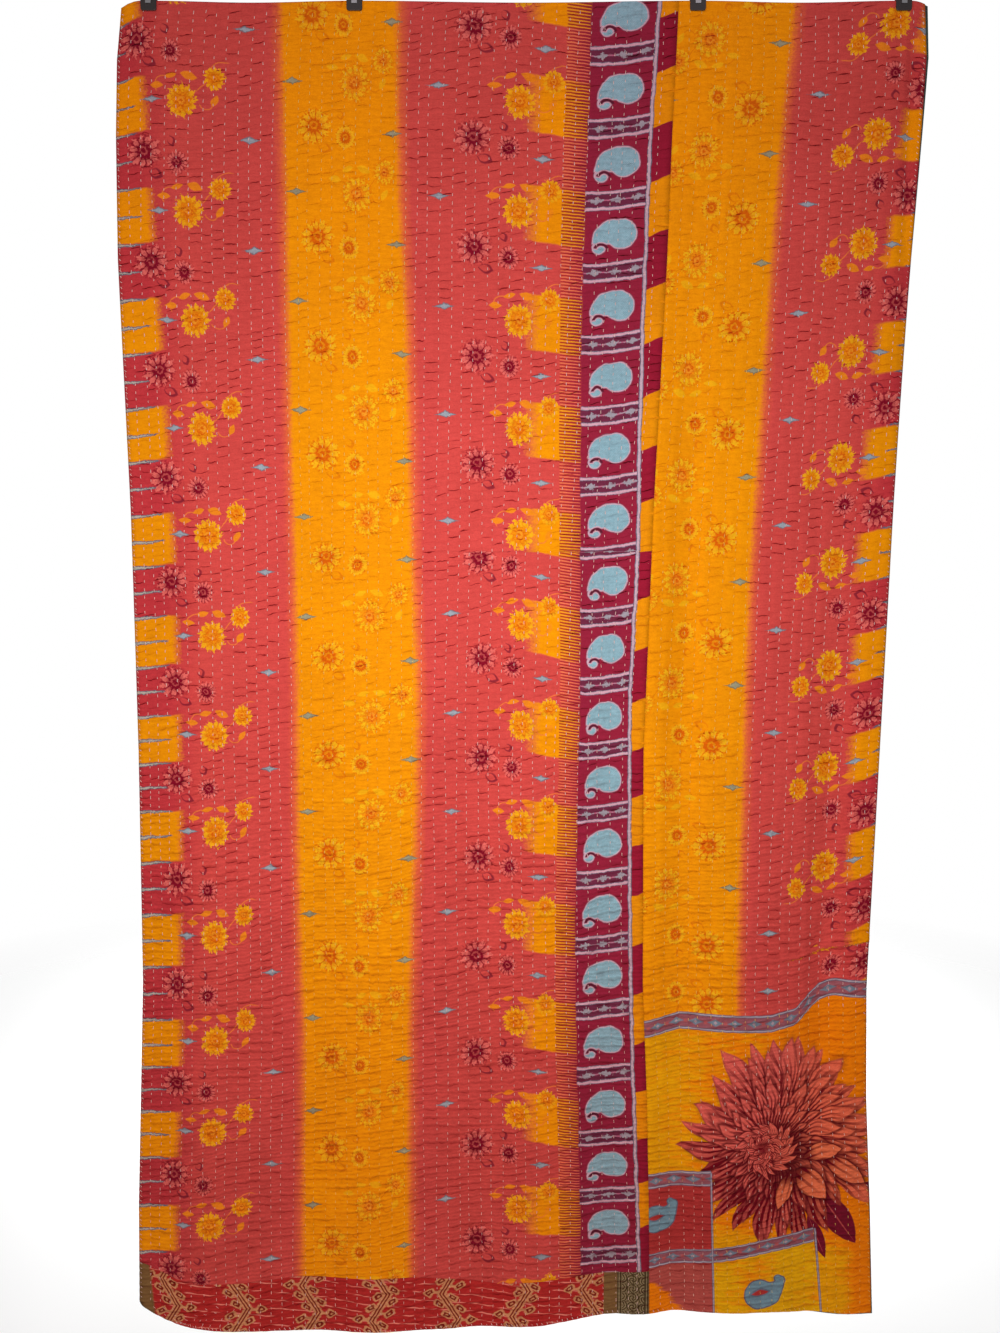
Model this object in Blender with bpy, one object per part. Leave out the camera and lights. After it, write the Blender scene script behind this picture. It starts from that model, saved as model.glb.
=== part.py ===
"""A kantha quilt of old saris, hanging flat and face on from four clips on its top edge.

Frame: X runs to the viewer's right, the viewer stands at -Y, Z is up. The origin is the middle of the line
along the tops of the clips, where something else takes the load. All sizes are in metres.

The quilt is two printed panels and a foot strip sewn in front of one backing cloth. Every sheet hangs in the
same soft folds. Rows of running stitch run down the quilt, and the cloth stands up between them, so the grid
that makes a sheet has one column in each stitched valley and one on each crest.
"""

import math

import bmesh
import bpy
import numpy as np

# Driving dimensions
GAP = 0.0003  # between pieces that touch on the real quilt
LEFT_SPACES = 46  # stitched channels across the left panel
RIGHT_SPACES = 20  # stitched channels across the right panel
FRONT_THICK = 0.0011  # front cloth at a stitch row
BACK_THICK = 0.0009  # backing at a stitch row
CREST = 0.0011  # how far a channel stands up between its stitch rows
FLAT_HEM = 0.022  # depth of the pressed hem at the top, which the clips grip
CLIP_DROP = 0.030  # from the clips' tops to the cloth's top edge

# The quilt's outline and the seam between its panels, seen face on, by depth below the top edge
#         down    left    seam   right
OUTLINE = (
    (0.000, -0.642, 0.242, 0.637),
    (0.080, -0.651, 0.239, 0.641),
    (0.200, -0.656, 0.234, 0.635),
    (0.400, -0.659, 0.228, 0.624),
    (0.800, -0.651, 0.210, 0.606),
    (1.200, -0.650, 0.198, 0.593),
    (1.600, -0.653, 0.201, 0.581),
    (1.800, -0.662, 0.210, 0.587),
    (2.000, -0.671, 0.216, 0.600),
    (2.200, -0.675, 0.219, 0.610),
)

# The hem, and the seam along the top of the foot strip
#       across   down
HEM = (
    (-0.675, 2.226),
    (-0.500, 2.226),
    (-0.130, 2.221),
    (0.030, 2.213),
    (0.160, 2.194),
    (0.270, 2.187),
    (0.610, 2.191),
)
STRIP_SEAM = (
    (-0.675, 2.104),
    (-0.583, 2.136),
    (-0.495, 2.137),
    (-0.400, 2.126),
    (-0.190, 2.124),
    (-0.042, 2.138),
    (0.063, 2.128),
    (0.219, 2.112),
)

# The soft folds. depth is towards the viewer, negative away; a fold starts at `begins`, is deepest at `full`
# and keeps `at_hem` of its depth at the hem. top_x and hem_x are where it runs.
#        top_x   hem_x  half_width  depth  begins  full  at_hem
FOLDS = (
    (-0.640, -0.670, 0.050, -0.010, 0.10, 1.30, 0.9),
    (-0.540, -0.560, 0.060, 0.009, 0.15, 1.40, 0.5),
    (-0.400, -0.370, 0.055, -0.007, 0.30, 1.50, 0.4),
    (-0.250, -0.260, 0.065, 0.010, 0.40, 1.60, 0.7),
    (-0.110, -0.080, 0.050, -0.007, 0.30, 1.20, 0.6),
    (0.030, 0.010, 0.060, 0.008, 0.50, 1.70, 0.5),
    (0.150, 0.140, 0.045, -0.006, 0.40, 1.50, 0.8),
    (0.225, 0.205, 0.035, 0.008, 0.10, 1.10, 0.6),
    (0.275, 0.262, 0.030, -0.009, 0.20, 1.00, 0.4),
    (0.400, 0.360, 0.070, 0.012, 0.30, 1.70, 0.5),
    (0.530, 0.500, 0.028, -0.012, 0.50, 1.60, 0.3),
    (0.600, 0.560, 0.035, 0.008, 0.40, 1.60, 0.4),
    (0.618, 0.612, 0.012, -0.006, 0.02, 0.12, 0.1),
)

# The lower left corner's outline is rounded
CORNER_WIDTH = 0.200
CORNER_HEIGHT = 0.050
CORNER_ROUND = 1.8  # exponent of the corner's curve; 2 would be an ellipse

# The backing reaches past the right panel at the right edge; elsewhere they end together
#    down  proud
RIGHT_PROUD = (
    (0.0, 0.0060),
    (0.4, 0.0020),
    (2.2, 0.0040),
)

# The top edge droops between the clips and outside the outermost ones
CLIP_X = (-0.598, -0.272, 0.272, 0.598)
SPAN_SAG = 0.003
CORNER_DROOP = 0.008
SAG_FADE = 0.30  # the droop is gone this far down

# Grid rows between the pressed hem and the foot strip
BODY_ROWS = 11
FIRST_BODY_ROW = 0.080
CORNER_ROW = 0.5  # one more row this far down the strip, where the corner's curve starts

# Clips
JAW_WIDTH = 0.025
JAW_THICK = 0.0032
JAW_GRIP = 0.016  # how far a jaw reaches down over the cloth
JAW_TOP = 0.0060  # below the clip's top
JAW_CORNER = 0.0035
JAW_BEVEL = 0.0008
SPRING_WIDTH = 0.0085
SPRING_THICK = 0.0010
SPRING_LEG = 0.0360  # from the clip's top to the ends of the spring

COLOURS = {
    "left_panel": (0.55, 0.10, 0.09, 1.0),
    "right_panel": (0.80, 0.30, 0.02, 1.0),
    "foot_strip": (0.30, 0.03, 0.03, 1.0),
    "backing": (0.06, 0.10, 0.09, 1.0),
    "jaw": (0.012, 0.012, 0.013, 1.0),
    "spring": (0.55, 0.55, 0.56, 1.0),
}


def table_curve(table, column, at):
    """A column of a table read at any place, with straight runs between its rows."""
    rows = np.array(table)
    return np.interp(at, rows[:, 0], rows[:, column])


def column_shares():
    """Where each grid column runs: 0 to 1 over the left panel, 1 to 2 over the right one, two to a channel.

    From 2 to 3 is the margin of backing that shows past the right panel.
    """
    left = np.linspace(0.0, 1.0, 2 * LEFT_SPACES + 1)
    right = np.linspace(1.0, 2.0, 2 * RIGHT_SPACES + 1)
    margin = np.linspace(2.0, 3.0, 3)
    return np.concatenate([left, right[1:], margin[1:]])


SHARES = column_shares()
SEAM_COLUMN = 2 * LEFT_SPACES
LAST_PANEL_COLUMN = SEAM_COLUMN + 2 * RIGHT_SPACES


def across(share, down):
    """Where a column runs: it keeps its share of its panel's width at every depth."""
    left = table_curve(OUTLINE, 1, down)
    seam = table_curve(OUTLINE, 2, down)
    edge = table_curve(OUTLINE, 3, down)
    right = edge - table_curve(RIGHT_PROUD, 1, down)
    over_left = (seam - left) * np.clip(share, 0.0, 1.0)
    over_right = (right - seam) * np.clip(share - 1.0, 0.0, 1.0)
    over_margin = (edge - right) * np.clip(share - 2.0, 0.0, 1.0)
    return left + over_left + over_right + over_margin


def edge_droop(x):
    """How far the top edge hangs below the clips' line: an arch in each span, and falling outer corners."""
    droop = np.zeros_like(x)
    for start, end in zip(CLIP_X[:-1], CLIP_X[1:]):
        inside = (x > start) & (x < end)
        droop = np.where(inside, SPAN_SAG * np.sin(math.pi * (x - start) / (end - start)) ** 2, droop)
    outside = np.maximum(np.abs(x) - CLIP_X[-1] - JAW_WIDTH / 2, 0.0)
    reach = OUTLINE[0][3] - CLIP_X[-1] - JAW_WIDTH / 2
    return droop + CORNER_DROOP * np.minimum(outside / reach, 1.3) ** 2


def fold_depth(x, down):
    """Depth of the cloth towards the viewer: the sum of the folds, each a bell across the cloth."""
    foot = OUTLINE[-1][0]
    depth = np.zeros_like(x)
    for top_x, hem_x, half_width, deep, begins, full, at_hem in FOLDS:
        centre = top_x + (hem_x - top_x) * down / foot
        grown = np.clip((down - begins) / (full - begins), 0.0, 1.0)
        grown = grown * grown * (3.0 - 2.0 * grown)
        eased = np.clip((down - full) / (foot - full), 0.0, 1.0)
        strength = grown * (1.0 - (1.0 - at_hem) * eased)
        depth += deep * strength * np.exp(-(((x - centre) / half_width) ** 2))
    return depth


def round_corner(x, down):
    """The lower left corner: its square outline is drawn in to a curve."""
    start_x = HEM[0][0] + CORNER_WIDTH
    start_down = HEM[0][1] - CORNER_HEIGHT
    a = (start_x - x) / CORNER_WIDTH
    b = (down - start_down) / CORNER_HEIGHT
    inside = (a > 0.0) & (b > 0.0)
    a = np.where(inside, a, 1.0)
    b = np.where(inside, b, 1.0)
    drawn = np.maximum(a, b) / (a**CORNER_ROUND + b**CORNER_ROUND) ** (1.0 / CORNER_ROUND)
    new_x = np.where(inside, start_x - a * drawn * CORNER_WIDTH, x)
    new_down = np.where(inside, start_down + b * drawn * CORNER_HEIGHT, down)
    return new_x, new_down


def row_depths(x_at_seam_row):
    """Depth below the top edge of each grid row, for each column: the pressed hem, even rows, then the strip."""
    seam = table_curve(STRIP_SEAM, 1, x_at_seam_row)
    hem = table_curve(HEM, 1, x_at_seam_row)
    rows = [np.zeros_like(seam), np.full_like(seam, FLAT_HEM)]
    for i in range(BODY_ROWS + 1):
        rows.append(FIRST_BODY_ROW + (seam - FIRST_BODY_ROW) * i / BODY_ROWS)
    rows.append(seam + (hem - seam) * CORNER_ROW)
    rows.append(hem)
    return np.array(rows)


STRIP_ROW = 2 + BODY_ROWS  # grid row that runs along the top seam of the foot strip


def hanging_grid():
    """The folded middle surface, as arrays X, Y, Z of rows by columns, and how much each point may stand up."""
    hem_x = across(SHARES, np.full_like(SHARES, OUTLINE[-1][0]))
    down = row_depths(hem_x)
    x = across(np.broadcast_to(SHARES, down.shape), down)
    x, fallen = round_corner(x, down)
    toward = fold_depth(x, fallen)
    droop = edge_droop(x) * np.clip(1.0 - down / SAG_FADE, 0.0, 1.0)
    z = -CLIP_DROP - fallen - droop
    crest = np.zeros_like(down)
    crest[2:-1, 1:LAST_PANEL_COLUMN:2] = CREST
    crest[-1, 1:LAST_PANEL_COLUMN:2] = CREST / 2  # the hem is stitched down, so its channels are lower
    return x, -toward, z, crest


def closed_sheet(name, outer, inner, colour):
    """A thin closed body between an outer face with every column and an inner one with every second column."""
    rows, columns = outer.shape[:2]
    half = inner.shape[1]
    first_inner = rows * columns
    triangles = []

    def face_grid(start, width):
        for r in range(rows - 1):
            for c in range(width - 1):
                a = start + r * width + c
                triangles.append((a, a + 1, a + width + 1))
                triangles.append((a, a + width + 1, a + width))

    face_grid(0, columns)
    face_grid(first_inner, half)
    for r in (0, rows - 1):
        for c in range(half - 1):
            o = r * columns + 2 * c
            i = first_inner + r * half + c
            triangles.extend([(i, o, o + 1), (i, o + 1, i + 1), (i + 1, o + 1, o + 2)])
    for c_outer, c_inner in ((0, 0), (columns - 1, half - 1)):
        for r in range(rows - 1):
            o = r * columns + c_outer
            i = first_inner + r * half + c_inner
            triangles.extend([(o, i, i + half), (o, i + half, o + columns)])

    mesh = bpy.data.meshes.new(name)
    points = np.concatenate([outer.reshape(-1, 3), inner.reshape(-1, 3)])
    mesh.from_pydata(points.tolist(), [], triangles)
    return add_object(name, mesh, colour)


def add_object(name, mesh, colour, roughness=0.9, metallic=0.0):
    """Link a mesh as an object with faces turned outwards and its own material."""
    bm = bmesh.new()
    bm.from_mesh(mesh)
    bmesh.ops.recalc_face_normals(bm, faces=bm.faces)
    bm.to_mesh(mesh)
    bm.free()
    mesh.shade_smooth()
    mesh.set_sharp_from_angle(angle=math.radians(40))
    material = bpy.data.materials.new(name)
    material.use_nodes = True
    shader = material.node_tree.nodes["Principled BSDF"]
    shader.inputs["Base Color"].default_value = colour
    shader.inputs["Roughness"].default_value = roughness
    shader.inputs["Metallic"].default_value = metallic
    mesh.materials.append(material)
    obj = bpy.data.objects.new(name, mesh)
    bpy.context.collection.objects.link(obj)
    return obj


def sheet_points(x, y, z):
    return np.stack([x, y, z], axis=-1)


def draw_in(points, distance, axis):
    """Move the first line of a grid towards the third (columns) or second (rows), along the sheet itself."""
    line, toward = (points[:, 0], points[:, 2]) if axis == "column" else (points[0], points[1])
    share = distance / np.linalg.norm(toward - line, axis=-1)
    line += (toward - line) * np.reshape(share, (-1, 1))


def make_front(name, grid, rows, columns):
    """One front cloth: a block of grid rows and columns, GAP clear of its neighbours all round."""
    x, y, z, crest = (a[rows, columns].copy() for a in grid)
    middle = sheet_points(x, y, z)
    mirrored = middle[:, ::-1]
    upside_down = middle[::-1]
    if columns.start == 0:
        draw_in(mirrored, GAP / 2, "column")
    else:
        draw_in(middle, GAP / 2, "column")
    if rows.start > 0:
        draw_in(middle, GAP / 2, "row")
    if rows.stop is not None:
        draw_in(upside_down, GAP / 2, "row")
    outer = middle - np.stack([0.0 * crest, FRONT_THICK + crest, 0.0 * crest], axis=-1)
    return closed_sheet(name, outer, middle[:, ::2], COLOURS[name])


def make_backing(grid):
    """The whole backing cloth behind the front cloths, its own channels standing up at the back."""
    x, y, z, crest = grid
    outer = sheet_points(x, y + GAP + BACK_THICK + crest, z)
    inner = sheet_points(x, y + GAP, z)[:, ::2]
    return closed_sheet("backing", outer, inner, COLOURS["backing"])


def rounded_plate(name, low_z, high_z, inner_y, outer_y, centre_x):
    """A jaw: an upright plate with rounded corners, its rim eased by a bevel."""
    outline = []
    corner_steps = 4
    for turn, (side, level) in enumerate(((1, high_z), (-1, high_z), (-1, low_z), (1, low_z))):
        inward = -1 if level == high_z else 1
        cx = centre_x + side * (JAW_WIDTH / 2 - JAW_CORNER)
        cz = level + inward * JAW_CORNER
        for step in range(corner_steps + 1):
            angle = math.pi / 2 * (turn + step / corner_steps)
            outline.append((cx + JAW_CORNER * math.cos(angle), cz + JAW_CORNER * math.sin(angle)))
    count = len(outline)
    points = [(px, inner_y, pz) for px, pz in outline] + [(px, outer_y, pz) for px, pz in outline]
    faces = [tuple(range(count)), tuple(range(2 * count - 1, count - 1, -1))]
    for i in range(count):
        j = (i + 1) % count
        faces.append((i, j, count + j, count + i))
    mesh = bpy.data.meshes.new(name)
    mesh.from_pydata(points, [], faces)
    jaw = add_object(name, mesh, COLOURS["jaw"], roughness=0.45)
    bevel = jaw.modifiers.new("eased rim", "BEVEL")
    bevel.width = JAW_BEVEL
    bevel.segments = 1
    bevel.limit_method = "ANGLE"
    bevel.angle_limit = math.radians(60)
    return jaw


def spring_band(name, front_y, back_y, centre_x):
    """The spring: a flat steel band bent over both jaws, its legs on their outer faces."""
    middle = (front_y + back_y) / 2
    inner_half = (back_y - front_y) / 2 + GAP
    outer_half = inner_half + SPRING_THICK
    outer_rise = JAW_TOP - GAP  # the arch is a flat-topped bow between the jaws' tops and the clip's top
    inner_rise = outer_rise - SPRING_THICK
    arch_steps = 8

    def bow(half, rise, top):
        path = [(middle - half, -SPRING_LEG)]
        for step in range(arch_steps + 1):
            angle = math.pi * (1.0 - step / arch_steps)
            path.append((middle + half * math.cos(angle), top - rise + rise * math.sin(angle) ** 0.8))
        path.append((middle + half, -SPRING_LEG))
        return path

    outer = bow(outer_half, outer_rise, 0.0)
    inner = bow(inner_half, inner_rise, -SPRING_THICK)
    count = len(outer)
    left = centre_x - SPRING_WIDTH / 2
    right = centre_x + SPRING_WIDTH / 2
    points = []
    for side in (left, right):
        for path in (outer, inner):
            points += [(side, py, pz) for py, pz in path]
    faces = []
    for i in range(count - 1):
        for start in (0, 2 * count):
            faces.append((start + i, start + i + 1, start + count + i + 1, start + count + i))
        for path in (0, count):
            faces.append((path + i, path + i + 1, 2 * count + path + i + 1, 2 * count + path + i))
    for i in (0, count - 1):
        faces.append((i, count + i, 3 * count + i, 2 * count + i))
    mesh = bpy.data.meshes.new(name)
    mesh.from_pydata(points, [], faces)
    return add_object(name, mesh, COLOURS["spring"], roughness=0.3, metallic=1.0)


def make_clip(number, centre_x):
    """A clip: two jaws that grip the pressed hem, and the spring that closes them."""
    front_face = -FRONT_THICK - GAP
    back_face = GAP + BACK_THICK + GAP
    low = -CLIP_DROP - JAW_GRIP
    name = f"clip_{number}"
    rounded_plate(f"{name}_front_jaw", low, -JAW_TOP, front_face, front_face - JAW_THICK, centre_x)
    rounded_plate(f"{name}_back_jaw", low, -JAW_TOP, back_face, back_face + JAW_THICK, centre_x)
    spring_band(f"{name}_spring", front_face - JAW_THICK, back_face + JAW_THICK, centre_x)


def main():
    for obj in list(bpy.data.objects):
        bpy.data.objects.remove(obj, do_unlink=True)
    grid = hanging_grid()
    make_backing(grid)
    make_front("left_panel", grid, slice(0, STRIP_ROW + 1), slice(0, SEAM_COLUMN + 1))
    make_front("foot_strip", grid, slice(STRIP_ROW, None), slice(0, SEAM_COLUMN + 1))
    make_front("right_panel", grid, slice(0, None), slice(SEAM_COLUMN, LAST_PANEL_COLUMN + 1))
    for number, centre_x in enumerate(CLIP_X, start=1):
        make_clip(number, centre_x)


main()
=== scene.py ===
# %% [markdown]
# # A kantha quilt of old saris, hanging from four clips
#
# A kantha quilt is several thin cotton saris laid on each other and held together by rows of running
# stitch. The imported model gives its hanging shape: folds, outline, seams and clips. This script gives it
# its looks. The model comes first, because every piece below has to sit on it.

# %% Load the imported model
import math

import bmesh
import bpy
import numpy as np
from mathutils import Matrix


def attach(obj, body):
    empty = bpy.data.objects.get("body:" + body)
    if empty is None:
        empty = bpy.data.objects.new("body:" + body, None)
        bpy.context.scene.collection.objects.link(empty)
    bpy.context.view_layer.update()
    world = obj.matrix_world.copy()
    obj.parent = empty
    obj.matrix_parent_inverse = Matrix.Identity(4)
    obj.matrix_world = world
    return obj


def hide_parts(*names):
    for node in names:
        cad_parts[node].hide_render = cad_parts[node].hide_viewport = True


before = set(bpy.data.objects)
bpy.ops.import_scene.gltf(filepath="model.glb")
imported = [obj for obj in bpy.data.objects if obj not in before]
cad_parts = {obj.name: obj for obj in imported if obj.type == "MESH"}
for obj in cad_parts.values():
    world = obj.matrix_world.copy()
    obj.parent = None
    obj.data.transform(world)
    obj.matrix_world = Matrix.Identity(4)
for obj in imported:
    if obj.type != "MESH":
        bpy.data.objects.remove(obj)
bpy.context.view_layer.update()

print("packed nodes:", sorted(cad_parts))

# %% [markdown]
# ## Camera, floor and light
#
# The quilt was seen face on from a little over half its height, with the camera drooping a few degrees,
# so the lower end is drawn slightly smaller. One soft light stands close in front of the middle, which is
# why the top and the foot are dimmer than the middle. A weak light from the left picks out the folds, a
# warm one low down stands for what a room's floor throws back, and a cooler one high up for the ceiling.
# Two more light the quilt's back and the floor behind it.

# %% Camera
CAMERA_PLACE = (-0.0415, -1.66, -0.9632)
CAMERA_DROOP = math.radians(4.3)

camera_data = bpy.data.cameras.new("camera")
camera_data.sensor_fit = "HORIZONTAL"
camera_data.sensor_width = 36.0
camera_data.lens = 36.0
camera = bpy.data.objects.new("camera", camera_data)
camera.location = CAMERA_PLACE
camera.rotation_euler = (math.pi / 2 - CAMERA_DROOP, 0.0, 0.0)
bpy.context.scene.collection.objects.link(camera)
bpy.context.scene.camera = camera
bpy.context.scene.view_settings.view_transform = "Standard"
print("camera", CAMERA_PLACE, "droop", round(math.degrees(CAMERA_DROOP), 1))

# %% Lights


def add_soft_light(name, place, aim, size, power, colour=(1.0, 1.0, 1.0)):
    """A square area light at a place, turned to face another place."""
    data = bpy.data.lights.new(name, "AREA")
    data.size = size
    data.energy = power
    data.color = colour
    light = bpy.data.objects.new(name, data)
    light.location = place
    towards = np.array(aim) - np.array(place)
    heading = math.atan2(towards[1], towards[0]) - math.pi / 2
    rise = math.atan2(towards[2], math.hypot(towards[0], towards[1]))
    light.rotation_euler = (math.pi / 2 + rise, 0.0, heading)
    light.visible_camera = False
    bpy.context.scene.collection.objects.link(light)


add_soft_light("main_light", (-0.12, -1.02, -0.91), (-0.08, 0.0, -0.97), 0.35, 5.65)
add_soft_light("side_light", (-1.62, -1.52, -0.80), (-0.50, 0.0, -1.10), 0.50, 2.9, (1.0, 0.76, 0.70))
add_soft_light("low_light", (-0.16, -1.20, -1.76), (-0.10, 0.0, -1.90), 0.50, 2.2, (1.0, 0.70, 0.50))
add_soft_light("high_light", (0.05, -1.80, 0.35), (0.03, 0.0, -0.20), 0.60, 5.9, (1.0, 0.86, 0.96))
add_soft_light("back_light", (0.3, 2.4, 0.2), (0.0, 0.0, -1.1), 1.6, 40.0)
add_soft_light("floor_light", (0.0, 3.0, -0.7), (0.0, 3.001, -2.7), 2.2, 125.0)

world = bpy.data.worlds.new("studio")
world.use_nodes = True
bpy.context.scene.world = world
world_nodes = world.node_tree.nodes
world_links = world.node_tree.links
backdrop = world_nodes["Background"]
backdrop.inputs["Color"].default_value = (1.0, 1.0, 1.0, 1.0)
SKY_LIGHT = 0.25  # how much the white surroundings light the quilt; the lens sees them as full white
seen = world_nodes.new("ShaderNodeLightPath")
strength = world_nodes.new("ShaderNodeMapRange")
strength.inputs["To Min"].default_value = SKY_LIGHT
world_links.new(seen.outputs["Is Camera Ray"], strength.inputs["Value"])
world_links.new(strength.outputs["Result"], backdrop.inputs["Strength"])

# %% [markdown]
# ## The hanging shape
#
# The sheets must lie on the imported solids, so the tables and formulas of the solids are repeated here.
# `across` says where a stitched row runs, `fold_depth` how far the cloth leans out in its folds, and
# `round_corner` rounds the lower left corner. All of them take whole arrays.

# %% Tables of the hanging shape
GAP = 0.0003
LEFT_SPACES = 46
RIGHT_SPACES = 20
FRONT_THICK = 0.0011
BACK_THICK = 0.0009
CREST = 0.0011
FLAT_HEM = 0.022
CLIP_DROP = 0.030

#         down    left    seam   right
OUTLINE = np.array([
    (0.000, -0.642, 0.242, 0.637),
    (0.080, -0.651, 0.239, 0.641),
    (0.200, -0.656, 0.234, 0.635),
    (0.400, -0.659, 0.228, 0.624),
    (0.800, -0.651, 0.210, 0.606),
    (1.200, -0.650, 0.198, 0.593),
    (1.600, -0.653, 0.201, 0.581),
    (1.800, -0.662, 0.210, 0.587),
    (2.000, -0.671, 0.216, 0.600),
    (2.200, -0.675, 0.219, 0.610),
])

#       across   down
HEM = np.array([
    (-0.675, 2.226),
    (-0.500, 2.226),
    (-0.130, 2.221),
    (0.030, 2.213),
    (0.160, 2.194),
    (0.270, 2.187),
    (0.610, 2.191),
])
STRIP_SEAM = np.array([
    (-0.675, 2.104),
    (-0.583, 2.136),
    (-0.495, 2.137),
    (-0.400, 2.126),
    (-0.190, 2.124),
    (-0.042, 2.138),
    (0.063, 2.128),
    (0.219, 2.112),
])

#    top_x   hem_x  half_width  depth  begins  full  at_hem
FOLDS = (
    (-0.640, -0.670, 0.050, -0.010, 0.10, 1.30, 0.9),
    (-0.540, -0.560, 0.060, 0.009, 0.15, 1.40, 0.5),
    (-0.400, -0.370, 0.055, -0.007, 0.30, 1.50, 0.4),
    (-0.250, -0.260, 0.065, 0.010, 0.40, 1.60, 0.7),
    (-0.110, -0.080, 0.050, -0.007, 0.30, 1.20, 0.6),
    (0.030, 0.010, 0.060, 0.008, 0.50, 1.70, 0.5),
    (0.150, 0.140, 0.045, -0.006, 0.40, 1.50, 0.8),
    (0.225, 0.205, 0.035, 0.008, 0.10, 1.10, 0.6),
    (0.275, 0.262, 0.030, -0.009, 0.20, 1.00, 0.4),
    (0.400, 0.360, 0.070, 0.012, 0.30, 1.70, 0.5),
    (0.530, 0.500, 0.028, -0.012, 0.50, 1.60, 0.3),
    (0.600, 0.560, 0.035, 0.008, 0.40, 1.60, 0.4),
    (0.618, 0.612, 0.012, -0.006, 0.02, 0.12, 0.1),
)

CORNER_WIDTH = 0.200
CORNER_HEIGHT = 0.050
CORNER_ROUND = 1.8

#    down  how far the backing shows past the right panel
RIGHT_PROUD = np.array([
    (0.00, 0.0050),
    (0.12, 0.0030),
    (0.40, 0.0008),
    (1.80, 0.0008),
    (2.20, 0.0022),
])

CLIP_X = (-0.598, -0.272, 0.272, 0.598)
JAW_WIDTH = 0.025
SPAN_SAG = 0.003
CORNER_DROOP = 0.008
SAG_FADE = 0.30
print("folds:", len(FOLDS), "stitched channels:", LEFT_SPACES + RIGHT_SPACES)

# %% Formulas of the hanging shape


def curve(table, column, at):
    """A column of a table read at any place, with straight runs between its rows."""
    return np.interp(at, table[:, 0], table[:, column])


def smooth(value):
    """Soft step: 0 below 0, 1 above 1, and level at both ends."""
    held = np.clip(value, 0.0, 1.0)
    return held * held * (3.0 - 2.0 * held)


def across(share, down):
    """X of a share: 0 to 1 over the left panel, 1 to 2 over the right one, 2 to 3 over the margin."""
    left = curve(OUTLINE, 1, down)
    seam = curve(OUTLINE, 2, down)
    edge = curve(OUTLINE, 3, down)
    right = edge - curve(RIGHT_PROUD, 1, down)
    over_left = (seam - left) * np.clip(share, 0.0, 1.0)
    over_right = (right - seam) * np.clip(share - 1.0, 0.0, 1.0)
    return left + over_left + over_right + (edge - right) * np.clip(share - 2.0, 0.0, 1.0)


def fold_depth(x, down):
    """Lean towards the viewer: the sum of bells across the cloth, each growing down to where it is full."""
    foot = OUTLINE[-1, 0]
    depth = np.zeros_like(x)
    for top_x, hem_x, half_width, deep, begins, full, at_hem in FOLDS:
        centre = top_x + (hem_x - top_x) * down / foot
        grown = smooth((down - begins) / (full - begins))
        eased = np.clip((down - full) / (foot - full), 0.0, 1.0)
        depth += deep * grown * (1.0 - (1.0 - at_hem) * eased) * np.exp(-(((x - centre) / half_width) ** 2))
    return depth


def round_corner(x, down):
    """The lower left corner: its square outline is drawn in to a super-ellipse of exponent 1.8."""
    start_x = HEM[0, 0] + CORNER_WIDTH
    start_down = HEM[0, 1] - CORNER_HEIGHT
    a = (start_x - x) / CORNER_WIDTH
    b = (down - start_down) / CORNER_HEIGHT
    inside = (a > 0.0) & (b > 0.0)
    a = np.where(inside, a, 1.0)
    b = np.where(inside, b, 1.0)
    drawn = np.maximum(a, b) / (a**CORNER_ROUND + b**CORNER_ROUND) ** (1.0 / CORNER_ROUND)
    new_x = np.where(inside, start_x - a * drawn * CORNER_WIDTH, x)
    new_down = np.where(inside, start_down + b * drawn * CORNER_HEIGHT, down)
    return new_x, new_down


def edge_droop(x):
    """How far the top edge hangs: a squared sine between each two clips, and falling outer corners."""
    droop = np.zeros_like(x)
    for start, end in zip(CLIP_X[:-1], CLIP_X[1:]):
        inside = (x > start) & (x < end)
        droop = np.where(inside, SPAN_SAG * np.sin(math.pi * (x - start) / (end - start)) ** 2, droop)
    outside = np.maximum(np.abs(x) - CLIP_X[-1] - JAW_WIDTH / 2, 0.0)
    reach = OUTLINE[0, 3] - CLIP_X[-1] - JAW_WIDTH / 2
    return droop + CORNER_DROOP * np.minimum(outside / reach, 1.3) ** 2


def hang(share, down, sideways=0.0):
    """Points of the folded middle surface, for shares across and depths down."""
    x = across(share, down) + sideways
    x, fallen = round_corner(x, down)
    toward = fold_depth(x, fallen)
    droop = edge_droop(x) * np.clip(1.0 - down / SAG_FADE, 0.0, 1.0)
    return np.stack([x, -toward, -CLIP_DROP - fallen - droop], axis=-1)


print("middle of the hem:", hang(np.array([1.0]), np.array([2.19])).round(3))

# %% [markdown]
# ## Stitched channels and puckers
#
# A running stitch goes over the cloth and under it by turns, and pulls the cloth short as it goes. So the
# cloth stands up in a soft channel between two rows, and wherever the thread dives under, a small wrinkle
# runs across the channel to the next row. Sewing by hand makes every wrinkle a little different. A
# displacement texture would repeat or blur them, so each one is worked out: `phase` counts stitches down a
# row, whole numbers are wrinkles, and a seeded table says how deep each wrinkle is. Lower down, where the
# cloth hangs without strain, nearly every wrinkle shows and they join up into ripples.

# %% Rows of stitches
STITCH_PITCH = 0.0137
PUCKER = 0.0020  # the deepest wrinkle
ROW_OFFSET = 0.0017  # how far a row strays sideways from even spacing
ROW_WANDER = 0.0011
LEAN = 0.17  # of a stitch in each channel
WRINKLES = 190  # as many as a channel can hold

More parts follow.
